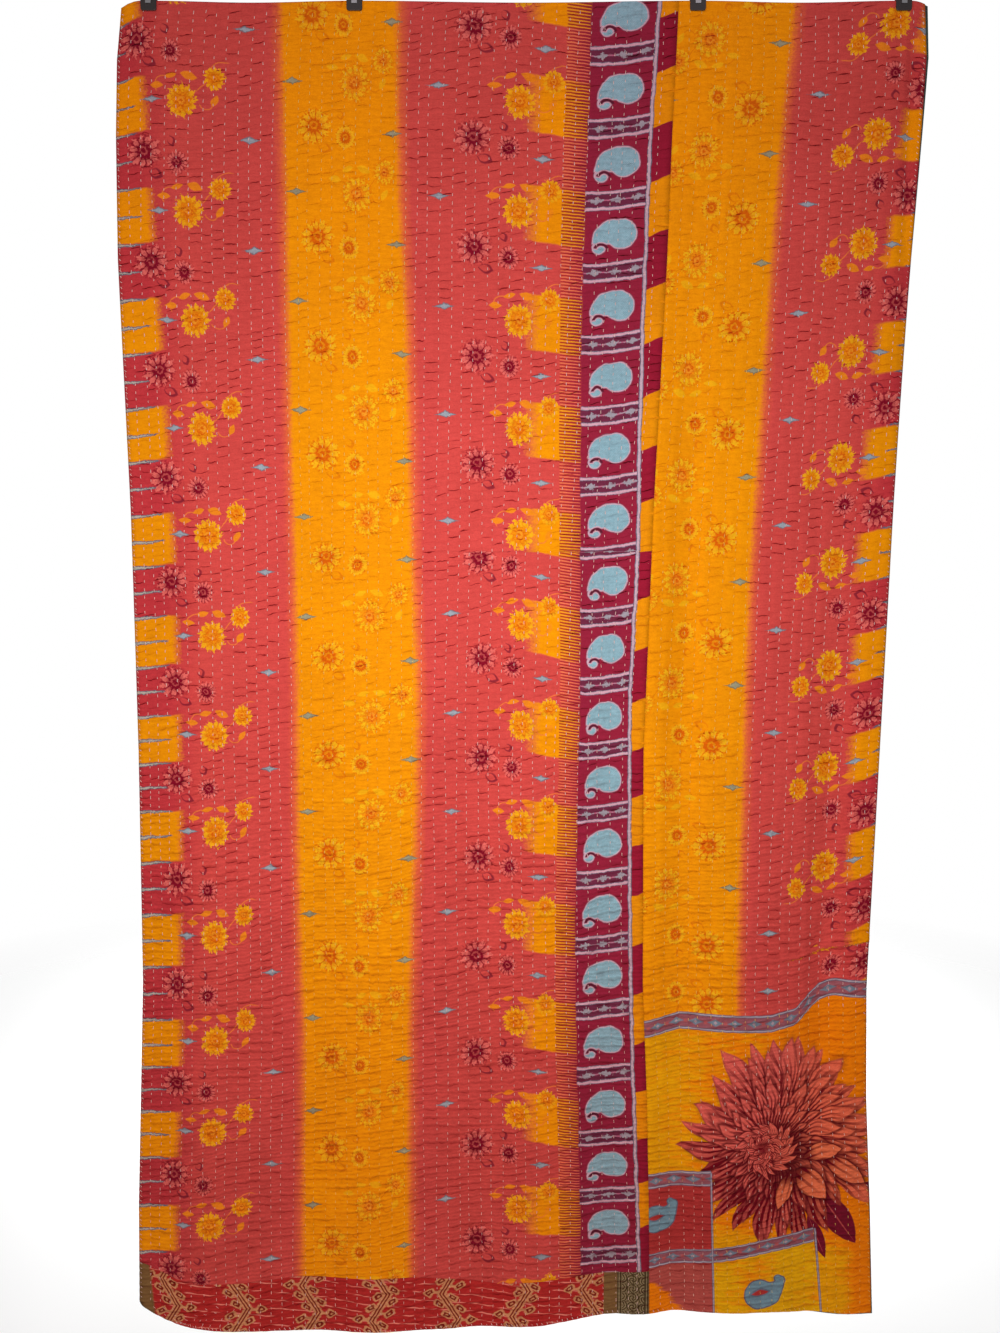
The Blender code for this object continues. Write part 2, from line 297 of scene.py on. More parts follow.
rng = np.random.default_rng(7)
ROWS = LEFT_SPACES + RIGHT_SPACES + 1
row_offset = rng.normal(0.0, ROW_OFFSET, ROWS).clip(-2 * ROW_OFFSET, 2 * ROW_OFFSET)
row_offset[[0, LEFT_SPACES, ROWS - 1]] = 0.0
row_turn = rng.uniform(0.0, 2 * math.pi, ROWS)
channel_phase = rng.uniform(-0.5, 0.5, ROWS)
wrinkle_depth = rng.random((ROWS, WRINKLES))


def count_rows(share):
    """Which row of stitches: 0 at the left edge, 46 at the seam between the panels, 66 at the right edge."""
    return LEFT_SPACES * np.clip(share, 0.0, 1.0) + RIGHT_SPACES * np.clip(share - 1.0, 0.0, 1.0)


def stray(row, down):
    """Sideways stray: each row has an offset and a slow wander, and the edges and the seam have none."""
    low = np.clip(np.floor(row).astype(int), 0, ROWS - 2)
    mix = row - low

    def one(index):
        free = (row_offset[index] != 0.0) * 1.0
        return row_offset[index] + free * ROW_WANDER * np.sin(down * 2 * math.pi / 0.41 + row_turn[index])

    return (1.0 - mix) * one(low) + mix * one(low + 1)


def phase(channel, row, down):
    """Stitches counted down a channel: an even pitch, a slow drift, and a lean along the wrinkles."""
    loose = 1.0 - 0.85 * smooth((down - 0.9) / 0.8)
    drift = 0.45 * np.sin(down * 2 * math.pi / 0.33 + 0.21 * row) + 0.3 * np.sin(down * 9.0 - 0.37 * row)
    return down / STITCH_PITCH + LEAN * row + drift + channel_phase[channel] * loose


def wrinkle_luck(channel, counted):
    """The seeded number, 0 to 1, of the wrinkle that is nearest in a channel."""
    number = np.clip(np.rint(counted).astype(int), 0, WRINKLES - 1)
    return wrinkle_depth[channel, number]


def wrinkle_strength(channel, counted, down):
    """Depth of the nearest wrinkle in a channel, 0 to 1: few deep ones above, nearly all below."""
    calm = 0.25 - 0.20 * smooth((down - 0.9) / 0.8)
    over = (wrinkle_luck(channel, counted) - calm) / (1.0 - calm)
    return np.clip(over, 0.0, 1.0) ** (1.5 - 0.7 * smooth((down - 1.0) / 0.8))


def shade_strength(channel, counted, down):
    """How dark a wrinkle's hollow looks: faint where the cloth hangs taut, full where it is loose."""
    return wrinkle_strength(channel, counted, down) * (0.22 + 0.78 * smooth((down - 0.8) / 0.8))


def slack(channel, counted, down):
    """How loose the cloth hangs, by depth alone: 0 in the upper part, 1 near the hem."""
    return smooth((down - 0.9) / 0.7)


def pinch_strength(channel, counted, down):
    """How crisp a wrinkle's bottom line is, a painted dark line of shade with a bump: sharp in about one of
    three, softer where the cloth is loose.
    """
    sharp = smooth((wrinkle_luck(channel, counted) - 0.58) / 0.22)
    return (0.12 + 0.88 * sharp) * (1.0 - 0.50 * smooth((down - 1.0) / 0.8))


def channel_beside(row, side):
    """The channel to the left (-1) or right (1) of a place. Inside a channel both are that one."""
    return np.clip(np.floor(row + 0.01 * side).astype(int), 0, ROWS - 1)


def quilting(row, down):
    """Height above a stitch row: a round arch across the channel, cut by wrinkles with sharp bottoms.

    The folded edges inside the seam between the panels fill it up, so it is nearly level there.
    """
    arch = np.abs(np.sin(math.pi * row)) ** 0.8
    arch = np.maximum(arch, 0.75 * np.exp(-(((row - LEFT_SPACES) / 0.35) ** 2)))
    opened = smooth((down - FLAT_HEM) / 0.03)
    low = smooth((down - 0.9) / 0.9)
    join = 0.25 + 0.35 * low
    lens = join + (1.0 - join) * arch
    total = 0.0
    for side in (-1, 1):
        channel = channel_beside(row, side)
        counted = phase(channel, row, down)
        ripple = np.abs(np.sin(math.pi * counted))
        deep = wrinkle_strength(channel, counted, down)
        total = total + deep * (0.35 * low * ripple - (1.0 - ripple) ** (1.7 - 0.5 * low)) / 2
    return opened * (CREST * arch + PUCKER * (1.0 + 0.35 * low) * total * lens)


print("rows:", ROWS, "stitches in the longest row:", int(2.2 / STITCH_PITCH))

# %% [markdown]
# ## Tucks and creases
#
# The saris were pieced and taken in before quilting, so the print jumps at a sewn tuck: a low lip of cloth
# with its shadow under it. Long creases stand where the cloth was pressed. Each is one row of a table.

# %% Tucks and creases
#        x_from  x_to  fade  lip_height
TUCK_REACH = (
    (0.000, 0.240, 0.05, 0.0016),
    (0.205, 0.620, 0.01, 0.0022),
)
LEFT_TUCK = np.array([(-1.0, 0.868), (1.0, 0.868)])
#       across   down
RIGHT_TUCK = np.array([
    (0.204, 1.573),
    (0.299, 1.564),
    (0.401, 1.564),
    (0.469, 1.556),
    (0.562, 1.528),
    (0.620, 1.512),
])
#    top_x  low_x  from   to   width  height
CREASES = (
    (0.228, 0.220, 0.42, 0.95, 0.0035, -0.0013),
    (0.241, 0.232, 0.36, 0.80, 0.0030, -0.0010),
    (0.474, 0.488, 0.45, 1.60, 0.0060, -0.0016),
    (0.548, 0.494, 1.36, 1.57, 0.0080, -0.0030),
    (0.613, 0.614, 0.00, 0.13, 0.0040, -0.0020),
    (-0.115, -0.125, 1.30, 1.95, 0.0060, -0.0010),
)


def lip(past):
    """Profile of a tuck by the way past it: a soft rise, a sudden fall, then a hollow that fills again."""
    rise = smooth(1.0 + past / 0.020) * (past < 0.0)
    hollow = -0.35 * (1.0 - smooth(past / 0.014)) * (past >= 0.0)
    return rise + hollow


def tucks_and_creases(x, down):
    """Extra height of the tucks and the long creases."""
    height = np.zeros_like(x)
    for line, (start, end, fade, tall) in zip((LEFT_TUCK, RIGHT_TUCK), TUCK_REACH):
        there = smooth((x - start) / fade) * (x < end)
        height += tall * there * lip(down - curve(line, 1, x))
    for top_x, low_x, begins, ends, width, tall in CREASES:
        run = (down - begins) / (ends - begins)
        centre = top_x + (low_x - top_x) * run
        held = smooth(run * 5.0) * smooth((1.0 - run) * 5.0)
        height += tall * held * np.exp(-(((x - centre) / width) ** 2))
    return height


print("tucks:", len(TUCK_REACH), "creases:", len(CREASES))

# %% [markdown]
# ## Where the print lies
#
# The sari's print was never cut square to the quilt: its bands lean, and sewing has drawn them narrower in
# the middle. So the print gets its own coordinates, in metres on the flat sari: `p` runs across the bands
# and `q` down them, both 0 at one yellow flower. A table says where five lines of the print lie at each
# depth, and a chain of ramps reads `p` between them. A second table says how far `q` has slipped. They go
# into a UV map, because a pattern on cloth has to follow the cloth.

# %% Print coordinates of the left panel
PRINT_REPEAT = 0.171
FIRST_FLOWER = 0.151  # depth of the highest yellow flower
#    p of each line: flower, orange from, orange to, border from, grey line
LEFT_LINES = (0.000, 0.139, 0.341, 0.611, 0.706)
#    down  flower  orange_from  orange_to  border  grey_line
LEFT_GUIDES = np.array([
    (0.00, -0.557, -0.393, -0.198, 0.104, 0.212),
    (0.15, -0.551, -0.391, -0.200, 0.101, 0.202),
    (0.30, -0.545, -0.388, -0.198, 0.095, 0.196),
    (0.50, -0.535, -0.388, -0.187, 0.091, 0.190),
    (0.70, -0.526, -0.387, -0.184, 0.090, 0.186),
    (0.86, -0.520, -0.384, -0.181, 0.091, 0.186),
    (1.10, -0.517, -0.383, -0.173, 0.092, 0.175),
    (1.30, -0.517, -0.386, -0.176, 0.089, 0.176),
    (1.50, -0.524, -0.386, -0.186, 0.086, 0.179),
    (1.70, -0.527, -0.380, -0.191, 0.089, 0.184),
    (1.90, -0.539, -0.384, -0.193, 0.095, 0.192),
    (2.20, -0.553, -0.390, -0.194, 0.102, 0.204),
])
SLIP_LINES = (0.100, 0.500, 0.620)
#    down  at the flowers  at the teeth  at the border
LEFT_SLIP = np.array([
    (0.000, 0.000, -0.002, -0.015),
    (0.450, -0.003, -0.004, -0.009),
    (0.867, -0.007, -0.008, -0.009),
    (0.869, -0.007, 0.014, 0.002),
    (1.140, 0.002, 0.020, 0.005),
    (1.320, 0.013, 0.022, 0.016),
    (1.500, 0.004, 0.023, 0.017),
    (1.700, -0.010, 0.026, 0.016),
    (1.860, 0.001, 0.033, 0.016),
    (2.030, 0.001, 0.031, 0.032),
])


def chain(x, places, values, sign=1.0):
    """Piecewise line through places, which vary from point to point, and values. Its slope is 1 outside."""
    total = values[0] + sign * np.minimum(x - places[0], 0.0) + sign * np.maximum(x - places[-1], 0.0)
    for start, end, low, high in zip(places[:-1], places[1:], values[:-1], values[1:]):
        total = total + (high - low) * np.clip((x - start) / (end - start), 0.0, 1.0)
    return total


def left_print(x, down):
    """p and q on the left panel."""
    lines = [curve(LEFT_GUIDES, column, down) for column in range(1, 6)]
    p = chain(x, lines, LEFT_LINES)
    slips = [curve(LEFT_SLIP, column, down) for column in range(1, 4)]
    part = [np.clip((p - a) / (b - a), 0.0, 1.0) for a, b in zip(SLIP_LINES[:-1], SLIP_LINES[1:])]
    slip = slips[0] + part[0] * (slips[1] - slips[0]) + part[1] * (slips[2] - slips[1])
    return p, down - FIRST_FLOWER + slip


print("print at the left panel's middle:", np.round(left_print(np.array(-0.2), np.array(1.1)), 3))

# %% Print coordinates of the right panel
RIGHT_FLOWER = 0.032  # depth of its highest yellow flower; here the print is turned end for end
RIGHT_TUCKED = 0.071  # how much print the tuck swallows
#    p of each line: pale flower, orange to, flower
RIGHT_LINES = (0.263, 0.139, 0.000)
#    down  pale_flower  orange_to  flower
RIGHT_GUIDES = np.array([
    (0.00, 0.295, 0.431, 0.594),
    (0.15, 0.288, 0.417, 0.569),
    (0.30, 0.282, 0.406, 0.551),
    (0.50, 0.270, 0.395, 0.533),
    (0.70, 0.259, 0.385, 0.517),
    (0.90, 0.252, 0.374, 0.508),
    (1.10, 0.243, 0.369, 0.506),
    (1.30, 0.240, 0.367, 0.506),
    (1.50, 0.240, 0.364, 0.510),
    (1.70, 0.243, 0.364, 0.515),
])
#    down  slip at the right edge
EDGE_SLIP = np.array([
    (0.00, 0.011),
    (0.37, 0.000),
    (0.90, -0.008),
    (1.40, -0.026),
    (1.60, -0.038),
])
EDGE_LINE = 0.064  # from the flowers to the right edge, along p


def right_print(x, down):
    """p and q on the right panel, where p falls and q rises as the cloth goes right and up."""
    lines = [curve(RIGHT_GUIDES, column, down) for column in range(1, 4)]
    p = chain(x, lines, RIGHT_LINES, sign=-1.0)
    past_tuck = (down > curve(RIGHT_TUCK, 1, x)) * 1.0
    slip = curve(EDGE_SLIP, 1, down) * np.clip(-p / EDGE_LINE, 0.0, 1.3)
    return p, RIGHT_FLOWER - down + slip - past_tuck * RIGHT_TUCKED


print("print at the right panel's middle:", np.round(right_print(np.array(0.4), np.array(1.1)), 3))

# %% [markdown]
# ## The sheets
#
# Each sheet is a closed thin body: a fine face with the channels and puckers, a plain hidden face behind
# it, and rims between them. A Solidify modifier would double the fine face for nothing, so the hidden face
# has a coarser grid and the rims are fans from its points to the fine ones. A fine grid has two columns to
# a channel, one on the stitch row and one on the crest, or four on the narrow right panel. Down the cloth
# its lines are 2 mm apart in front, which is what a wrinkle needs, and 3 mm at the back.

# %% Helpers for the sheets


def grid_quads(rows, columns, start=0):
    """Quads of a grid of points numbered along its rows."""
    r, c = np.meshgrid(np.arange(rows - 1), np.arange(columns - 1), indexing="ij")
    a = (start + r * columns + c).ravel()
    return np.stack([a, a + columns, a + columns + 1, a + 1], axis=1)


def fan_rim(fine, coarse):
    """Triangles from a fine line of points to a coarse one, whose points each fan to those near them."""
    step = (len(fine) - 1) // (len(coarse) - 1)
    index = np.arange(len(fine) - 1)
    owner = (index + step // 2) // step
    fans = np.stack([coarse[owner], fine[:-1], fine[1:]], axis=1)
    turn = np.arange(len(coarse) - 1)
    turns = np.stack([coarse[:-1], fine[turn * step + (step + 1) // 2], coarse[1:]], axis=1)
    return np.concatenate([fans, turns])


def add_piece(name, points, faces, smooth_count):
    """A mesh object with its faces turned outwards, the first so many of them shaded smooth."""
    mesh = bpy.data.meshes.new(name)
    mesh.from_pydata(points, [], faces)
    mesh.polygons.foreach_set("use_smooth", np.arange(len(mesh.polygons)) < smooth_count)
    work = bmesh.new()
    work.from_mesh(mesh)
    bmesh.ops.recalc_face_normals(work, faces=work.faces)
    work.to_mesh(mesh)
    work.free()
    piece = bpy.data.objects.new(name, mesh)
    bpy.context.scene.collection.objects.link(piece)
    return piece


def closed_sheet(name, face, back, every):
    """A fine face and a back that keeps every n-th row and column of it. The rims stay flat shaded."""
    rows, columns = face.shape[:2]
    row_step, column_step = every
    back = back[::row_step, ::column_step]
    back_rows, back_columns = back.shape[:2]
    fine = np.arange(rows * columns).reshape(rows, columns)
    coarse = rows * columns + np.arange(back_rows * back_columns).reshape(back_rows, back_columns)
    quads = np.concatenate([grid_quads(rows, columns), grid_quads(back_rows, back_columns, rows * columns)])
    rims = [fan_rim(fine[r], coarse[r]) for r in (0, -1)]
    rims += [fan_rim(fine[:, c], coarse[:, c]) for c in (0, -1)]
    points = np.concatenate([face.reshape(-1, 3), back.reshape(-1, 3)])
    return add_piece(name, points, quads.tolist() + np.concatenate(rims).tolist(), len(quads))


def both_faces(values, every):
    """Values on the fine grid, then the same values at the back's points, one list as the mesh has them."""
    return np.concatenate([values.ravel(), values[:: every[0], :: every[1]].ravel()])


def corner_points(mesh):
    """The point that each face corner sits on."""
    corner = np.empty(len(mesh.loops), dtype=np.int32)
    mesh.loops.foreach_get("vertex_index", corner)
    return corner


def add_map(piece, name, u, v, every):
    """A UV map from two values at each grid point."""
    pair = np.stack([both_faces(u, every), both_faces(v, every)], axis=1)[corner_points(piece.data)]
    piece.data.uv_layers.new(name=name).data.foreach_set("uv", pair.astype(np.float32).ravel())


def add_value(piece, name, values, every):
    """A number at each point, for a material to read."""
    layer = piece.data.attributes.new(name, "FLOAT", "POINT")
    layer.data.foreach_set("value", both_faces(values, every).astype(np.float32))


def add_rows(piece, row, down, every):
    """Row and stitch count as a UV map, and as values by face corner: how dark each wrinkle's hollow is
    painted by its depth, how crisp its painted dark line is, and slack.

    Two channels meet at a stitch row with different counts, so a point there has one value for each side.
    """
    mesh = piece.data
    corner = corner_points(mesh)
    sides = np.empty(len(mesh.polygons), dtype=np.int32)
    mesh.polygons.foreach_get("loop_total", sides)
    face = np.repeat(np.arange(len(sides)), sides)
    spans = row.shape[1] - 1
    middle = (row[0, :-1] + row[0, 1:]) / 2
    at_row = both_faces(row, every)[corner]
    at_down = both_faces(down, every)[corner]
    channel = channel_beside(at_row, -1)
    fine = face < (row.shape[0] - 1) * spans
    channel[fine] = np.floor(middle).astype(int)[face[fine] % spans]
    counted = phase(channel, at_row, at_down)
    pair = np.stack([at_row, counted], axis=1).astype(np.float32)
    mesh.uv_layers.new(name="rows").data.foreach_set("uv", pair.ravel())
    for name, strength in (("wrinkle", shade_strength), ("pinch", pinch_strength), ("slack", slack)):
        values = strength(channel, counted, at_down).astype(np.float32)
        mesh.attributes.new(name, "FLOAT", "CORNER").data.foreach_set("value", values)


def even_columns(first, last, to_a_channel):
    """Shares of the columns between two whole shares, evenly inside each panel."""
    shares = [np.array([first])]
    for panel, spaces in ((0, LEFT_SPACES), (1, RIGHT_SPACES)):
        if first <= panel < last:
            shares.append(panel + np.arange(1, spaces * to_a_channel + 1) / (spaces * to_a_channel))
    return np.concatenate(shares)


def at_hem(share):
    """X of a column where it meets the hem."""
    return across(share, OUTLINE[-1, 0])


def depth_grid(shares, lines, start, end):
    """Share, depth and row on a sheet's grid, whose lines run evenly from one depth curve to another."""
    down = start + (end - start) * np.linspace(0.0, 1.0, lines)[:, None]
    share = np.broadcast_to(shares, down.shape)
    return share, down, count_rows(share)


print("quads in a face of 997 by 93 points:", len(grid_quads(997, 93)))

# %% Make the front sheets
#    lines down the cloth, columns to a stitched channel
LEFT_GRID = (997, 2)
RIGHT_GRID = (1117, 4)
STRIP_GRID = (49, 2)
BACK_STEP = 12  # the hidden face keeps every twelfth line, and the columns on the stitch rows
HELD_HEM = 0.010  # near a sheet's top and foot the quilting is held down over this depth
DEEPEST = 0.6  # of a cloth's thickness, as far as a wrinkle may sink


def front_sheet(name, panel, grid, top, foot, print_of):
    """A front cloth between two depth curves, with its maps: rows and stitches, print, and place."""
    lines, columns = grid
    every = (BACK_STEP, columns)
    shares = even_columns(panel, panel + 1, columns)
    start = curve(top, 1, at_hem(shares))
    end = curve(foot, 1, at_hem(shares))
    share, down, row = depth_grid(shares, lines, start, end)
    middle = hang(share, down, stray(row, down))
    true_x = across(share, down) + stray(row, down)
    height = quilting(row, down) + tucks_and_creases(true_x, down)
    way = np.linspace(0.0, 1.0, lines)[:, None]
    from_edge = np.minimum(way, np.linspace(1.0, 0.0, lines)[:, None]) * (end - start)
    height = height * np.clip(0.4 + from_edge / HELD_HEM, 0.0, 1.0)
    face = middle.copy()
    face[..., 1] -= FRONT_THICK + np.maximum(height, -DEEPEST * FRONT_THICK)
    piece = closed_sheet(name, face, middle, every)
    p, q = print_of(true_x, down)
    add_map(piece, "print", p, q, every)
    add_map(piece, "place", *round_corner(true_x, down), every)
    add_rows(piece, row, down, every)
    return piece


TOP_EDGE = np.array([(-1.0, 0.0), (1.0, 0.0)])
left_panel = front_sheet("left_panel_print", 0, LEFT_GRID, TOP_EDGE, STRIP_SEAM, left_print)
right_panel = front_sheet("right_panel_print", 1, RIGHT_GRID, TOP_EDGE, HEM, right_print)
foot_strip = front_sheet("foot_strip_print", 0, STRIP_GRID, STRIP_SEAM, HEM, left_print)
for piece in (left_panel, right_panel, foot_strip):
    print(piece.name, "triangles:", sum(len(f.vertices) - 2 for f in piece.data.polygons))

# %% [markdown]
# ## The backing
#
# One dark cloth covers the whole back. It has the same rows and channels, standing up at the back, and at
# the right edge it reaches a few millimetres past the printed panel.

# %% Make the backing
BACKING_GRID = (673, 2)
MARGIN = (2.5, 3.0)  # shares of the columns past the right panel
HEM_PROUD = 0.0022  # how far the backing hangs out below the lower right corner
PROUD_FROM = 0.48


def backing_sheet(name):
    """The backing: the same hanging surface, its fine face towards +Y, with a margin of two more columns."""
    lines, columns = BACKING_GRID
    every = (BACK_STEP, columns)
    shares = np.concatenate([even_columns(0, 2, columns), MARGIN])
    proud = HEM_PROUD * smooth((at_hem(shares) - PROUD_FROM) / 0.04)
    share, down, row = depth_grid(shares, lines, 0.0, curve(HEM, 1, at_hem(shares)) + proud)
    middle = hang(share, down, stray(row, down))
    middle[..., 1] += GAP
    face = middle.copy()
    face[..., 1] += BACK_THICK + np.maximum(quilting(row, down), -DEEPEST * BACK_THICK)
    piece = closed_sheet(name, face, middle, every)
    add_map(piece, "place", across(share, down), down, every)
    add_rows(piece, row, down, every)
    return piece


backing = backing_sheet("backing_cloth")
print(backing.name, "triangles:", sum(len(f.vertices) - 2 for f in backing.data.polygons))

# %% [markdown]
# ## The stitches
#
# The thread shows as short dashes with gaps as long between them. On the back the dashes lie where the
# front has gaps. There are thousands, so each is a tiny closed dash of 12 triangles, its ends sunk into the
# cloth, and all of a side's dashes are one mesh. Along the edges a shorter, closer stitch holds the hem.

# %% Make the stitches
STITCH_LENGTH = 0.0066
STITCH_WIDTH = 0.0012
STITCH_HEIGHT = 0.0006
STITCH_SUNK = 0.0004  # how deep a dash's ends go into the cloth
STITCH_STRAY = 0.0009
ROWS_END = 0.006  # from the top edge and from the hem
END_PIECE_TOP = 1.65


def dashes(name, centre, along, length, out, tint):
    """Closed dashes: two sunk ends, and at 30 % each way a ridge of three points. One row of inputs each.

    The tint is 1 where a dash lies on orange cloth, because pale thread takes up some of the colour there.
    """
    side = np.cross(along, out)
    side /= np.linalg.norm(side, axis=1, keepdims=True)
    half = length[:, None] / 2
    points = [centre - along * half - out * STITCH_SUNK]
    for way in (-0.6, 0.6):
        base = centre + along * half * way
        points.append(base - side * STITCH_WIDTH / 2)
        points.append(base + out * STITCH_HEIGHT)
        points.append(base + side * STITCH_WIDTH / 2)
    points.append(centre + along * half - out * STITCH_SUNK)
    points = np.stack(points, axis=1)
    triangles = np.array([
        (0, 2, 1), (0, 3, 2), (0, 1, 3),
        (1, 2, 5), (1, 5, 4), (2, 3, 6), (2, 6, 5), (3, 1, 4), (3, 4, 6),
        (7, 4, 5), (7, 5, 6), (7, 6, 4),
    ])
    count = len(points)
    faces = (triangles[None] + 8 * np.arange(count)[:, None, None]).reshape(-1, 3)
    piece = add_piece(name, points.reshape(-1, 3), faces.tolist(), len(faces))
    layer = piece.data.attributes.new("tint", "FLOAT", "POINT")
    layer.data.foreach_set("value", np.repeat(tint, 8).astype(np.float32))
    return piece


def on_orange(share, down):
    """1 where the print is orange: its band from p 0.14 to 0.34, and the end piece but for what is red."""
    x = across(share, down)
    p = np.where(share < 1.0, left_print(x, down)[0], right_print(x, down)[0])
    band = smooth((p - 0.130) / 0.02) * smooth((0.352 - p) / 0.02) * (down < 2.12)
    in_flower = ((x - 0.450) / 0.165) ** 2 + ((down - 1.877) / 0.175) ** 2 < 1.0
    in_compartment = (x < 0.322) & (down > 1.955)
    end_piece = np.where(in_flower | in_compartment, 0.1, 1.0)
    return np.where((share > 1.0) & (down > END_PIECE_TOP), end_piece, band)


def along_row(share, down, offset):
    """Point on a front or back face at a row, and the direction down the row."""
    row = count_rows(share)
    here = hang(share, down, stray(row, down))
    ahead = hang(share, down + 0.002, stray(row, down + 0.002))
    heading = ahead - here
    heading /= np.linalg.norm(heading, axis=1, keepdims=True)
    here[:, 1] += offset
    return here, heading


def row_stitches(name, half_turn, offset, out_y, seed):
    """Every row's stitches, and those just inside the edges and the seam.

    Their centres are where the phase is a whole number and a half in front, and a whole number at the back.
    """
    draw = np.random.default_rng(seed)
    left = np.arange(1, LEFT_SPACES) / LEFT_SPACES
    right = 1 + np.arange(1, RIGHT_SPACES) / RIGHT_SPACES
    beside_left = (0.18 / LEFT_SPACES, 1 - 0.22 / LEFT_SPACES)
    beside_right = (1 + 0.22 / RIGHT_SPACES, 2 - 0.2 / RIGHT_SPACES)
    all_shares, all_downs = [], []
    fine = np.linspace(ROWS_END, 2.235, 4000)
    for share in np.concatenate([left, right, beside_left, beside_right]):
        row = count_rows(np.full_like(fine, share))
        counted = phase(channel_beside(row, 1), row, fine)
        wanted = np.arange(math.ceil(counted[0]), math.floor(counted[-1])) + half_turn
        downs = np.interp(wanted, counted, fine) + draw.normal(0.0, STITCH_STRAY, len(wanted))
        downs = downs[(downs > ROWS_END) & (downs < curve(HEM, 1, at_hem(share)) - ROWS_END)]
        all_downs.append(downs)
        all_shares.append(np.full_like(downs, share))
    share = np.concatenate(all_shares)
    down = np.concatenate(all_downs)
    centre, heading = along_row(share, down, offset)
    heading[:, 0] += draw.normal(0.0, 0.07, len(share))
    heading /= np.linalg.norm(heading, axis=1, keepdims=True)
    length = STITCH_LENGTH * draw.uniform(0.72, 1.12, len(share))
    out = np.broadcast_to(np.array([0.0, out_y, 0.0]), centre.shape)
    return dashes(name, centre, heading, length, out, on_orange(share, down) * (out_y < 0.0))


front_stitches = row_stitches("front_stitches", 0.5, -FRONT_THICK, -1.0, 11)
back_stitches = row_stitches("back_stitches", 0.0, GAP + BACK_THICK, 1.0, 12)
for piece in (front_stitches, back_stitches):
    print(piece.name, len(piece.data.vertices) // 8)

# %% Make the edge stitches
EDGE_PITCH = 0.0088
EDGE_INSET = 0.0035
LEFT_WIDTH = 0.89  # of the panels at the foot
RIGHT_WIDTH = 0.40
SIDE_SLANT = (0.75, 0.0, -0.65)
HEM_SLANT = (0.45, 0.0, -0.90)


def edge_stitches(name):
    """Slanting stitches that bind the hem and both side edges, each crossing the edge's pressed fold."""
    draw = np.random.default_rng(21)
    side_down = np.arange(0.012, 2.17, EDGE_PITCH)
    hem_left = np.arange(0.01, 0.99, EDGE_PITCH / LEFT_WIDTH)
    hem_right = 1 + np.arange(0.02, 0.985, EDGE_PITCH / RIGHT_WIDTH)
    hem_share = np.concatenate([hem_left, hem_right])
    hem_down = curve(HEM, 1, at_hem(hem_share)) - EDGE_INSET
    inset_left = np.full_like(side_down, EDGE_INSET / LEFT_WIDTH)
    inset_right = 2.0 - np.full_like(side_down, EDGE_INSET / RIGHT_WIDTH)
    share = np.concatenate([inset_left, inset_right, hem_share])
    down = np.concatenate([side_down, side_down, hem_down])
    draw.normal(size=len(share))  # not used: the slants and lengths come from the draws after it
    centre = hang(share, down)
    centre[:, 1] -= FRONT_THICK + 0.0003
    on_side = np.arange(len(share)) < 2 * len(side_down)
    heading = np.where(on_side[:, None], np.array([SIDE_SLANT]), np.array([HEM_SLANT]))
    heading = heading + draw.normal(0.0, 0.12, heading.shape) * np.array([1.0, 0.0, 1.0])
    heading /= np.linalg.norm(heading, axis=1, keepdims=True)
    out = np.broadcast_to(np.array([0.0, -1.0, 0.0]), centre.shape)
    length = draw.uniform(0.0042, 0.0058, len(share))
    return dashes(name, centre, heading, length, out, on_orange(share, down))


edging = edge_stitches("edge_stitches")
print("edge stitches:", len(edging.data.vertices) // 8)

# %% [markdown]
# ## Writing materials as formulas
#
# A printed pattern is easier to read as a formula than as a web of nodes. `Value` wraps one socket, and
# sums on it add Math nodes. `Paint` holds one material: its `node` method adds any node from a type, its
# settings and the values or links of its sockets. Everything below is built from these two.

# %% Value and Paint


class Value:
    """A number that changes over a surface. Sums on it add Math nodes to its material."""

    def __init__(self, paint, socket):
        self.paint = paint
        self.socket = socket

    def __add__(self, other):
        return self.paint.math("ADD", self, other)

    __radd__ = __add__

    def __sub__(self, other):
        return self.paint.math("SUBTRACT", self, other)

    def __rsub__(self, other):
        return self.paint.math("SUBTRACT", other, self)

    def __mul__(self, other):
        return self.paint.math("MULTIPLY", self, other)

    __rmul__ = __mul__

    def __truediv__(self, other):
        return self.paint.math("DIVIDE", self, other)

    def __pow__(self, other):
        return self.paint.math("POWER", self, other)

    def __neg__(self):
        return self.paint.math("MULTIPLY", self, -1.0)


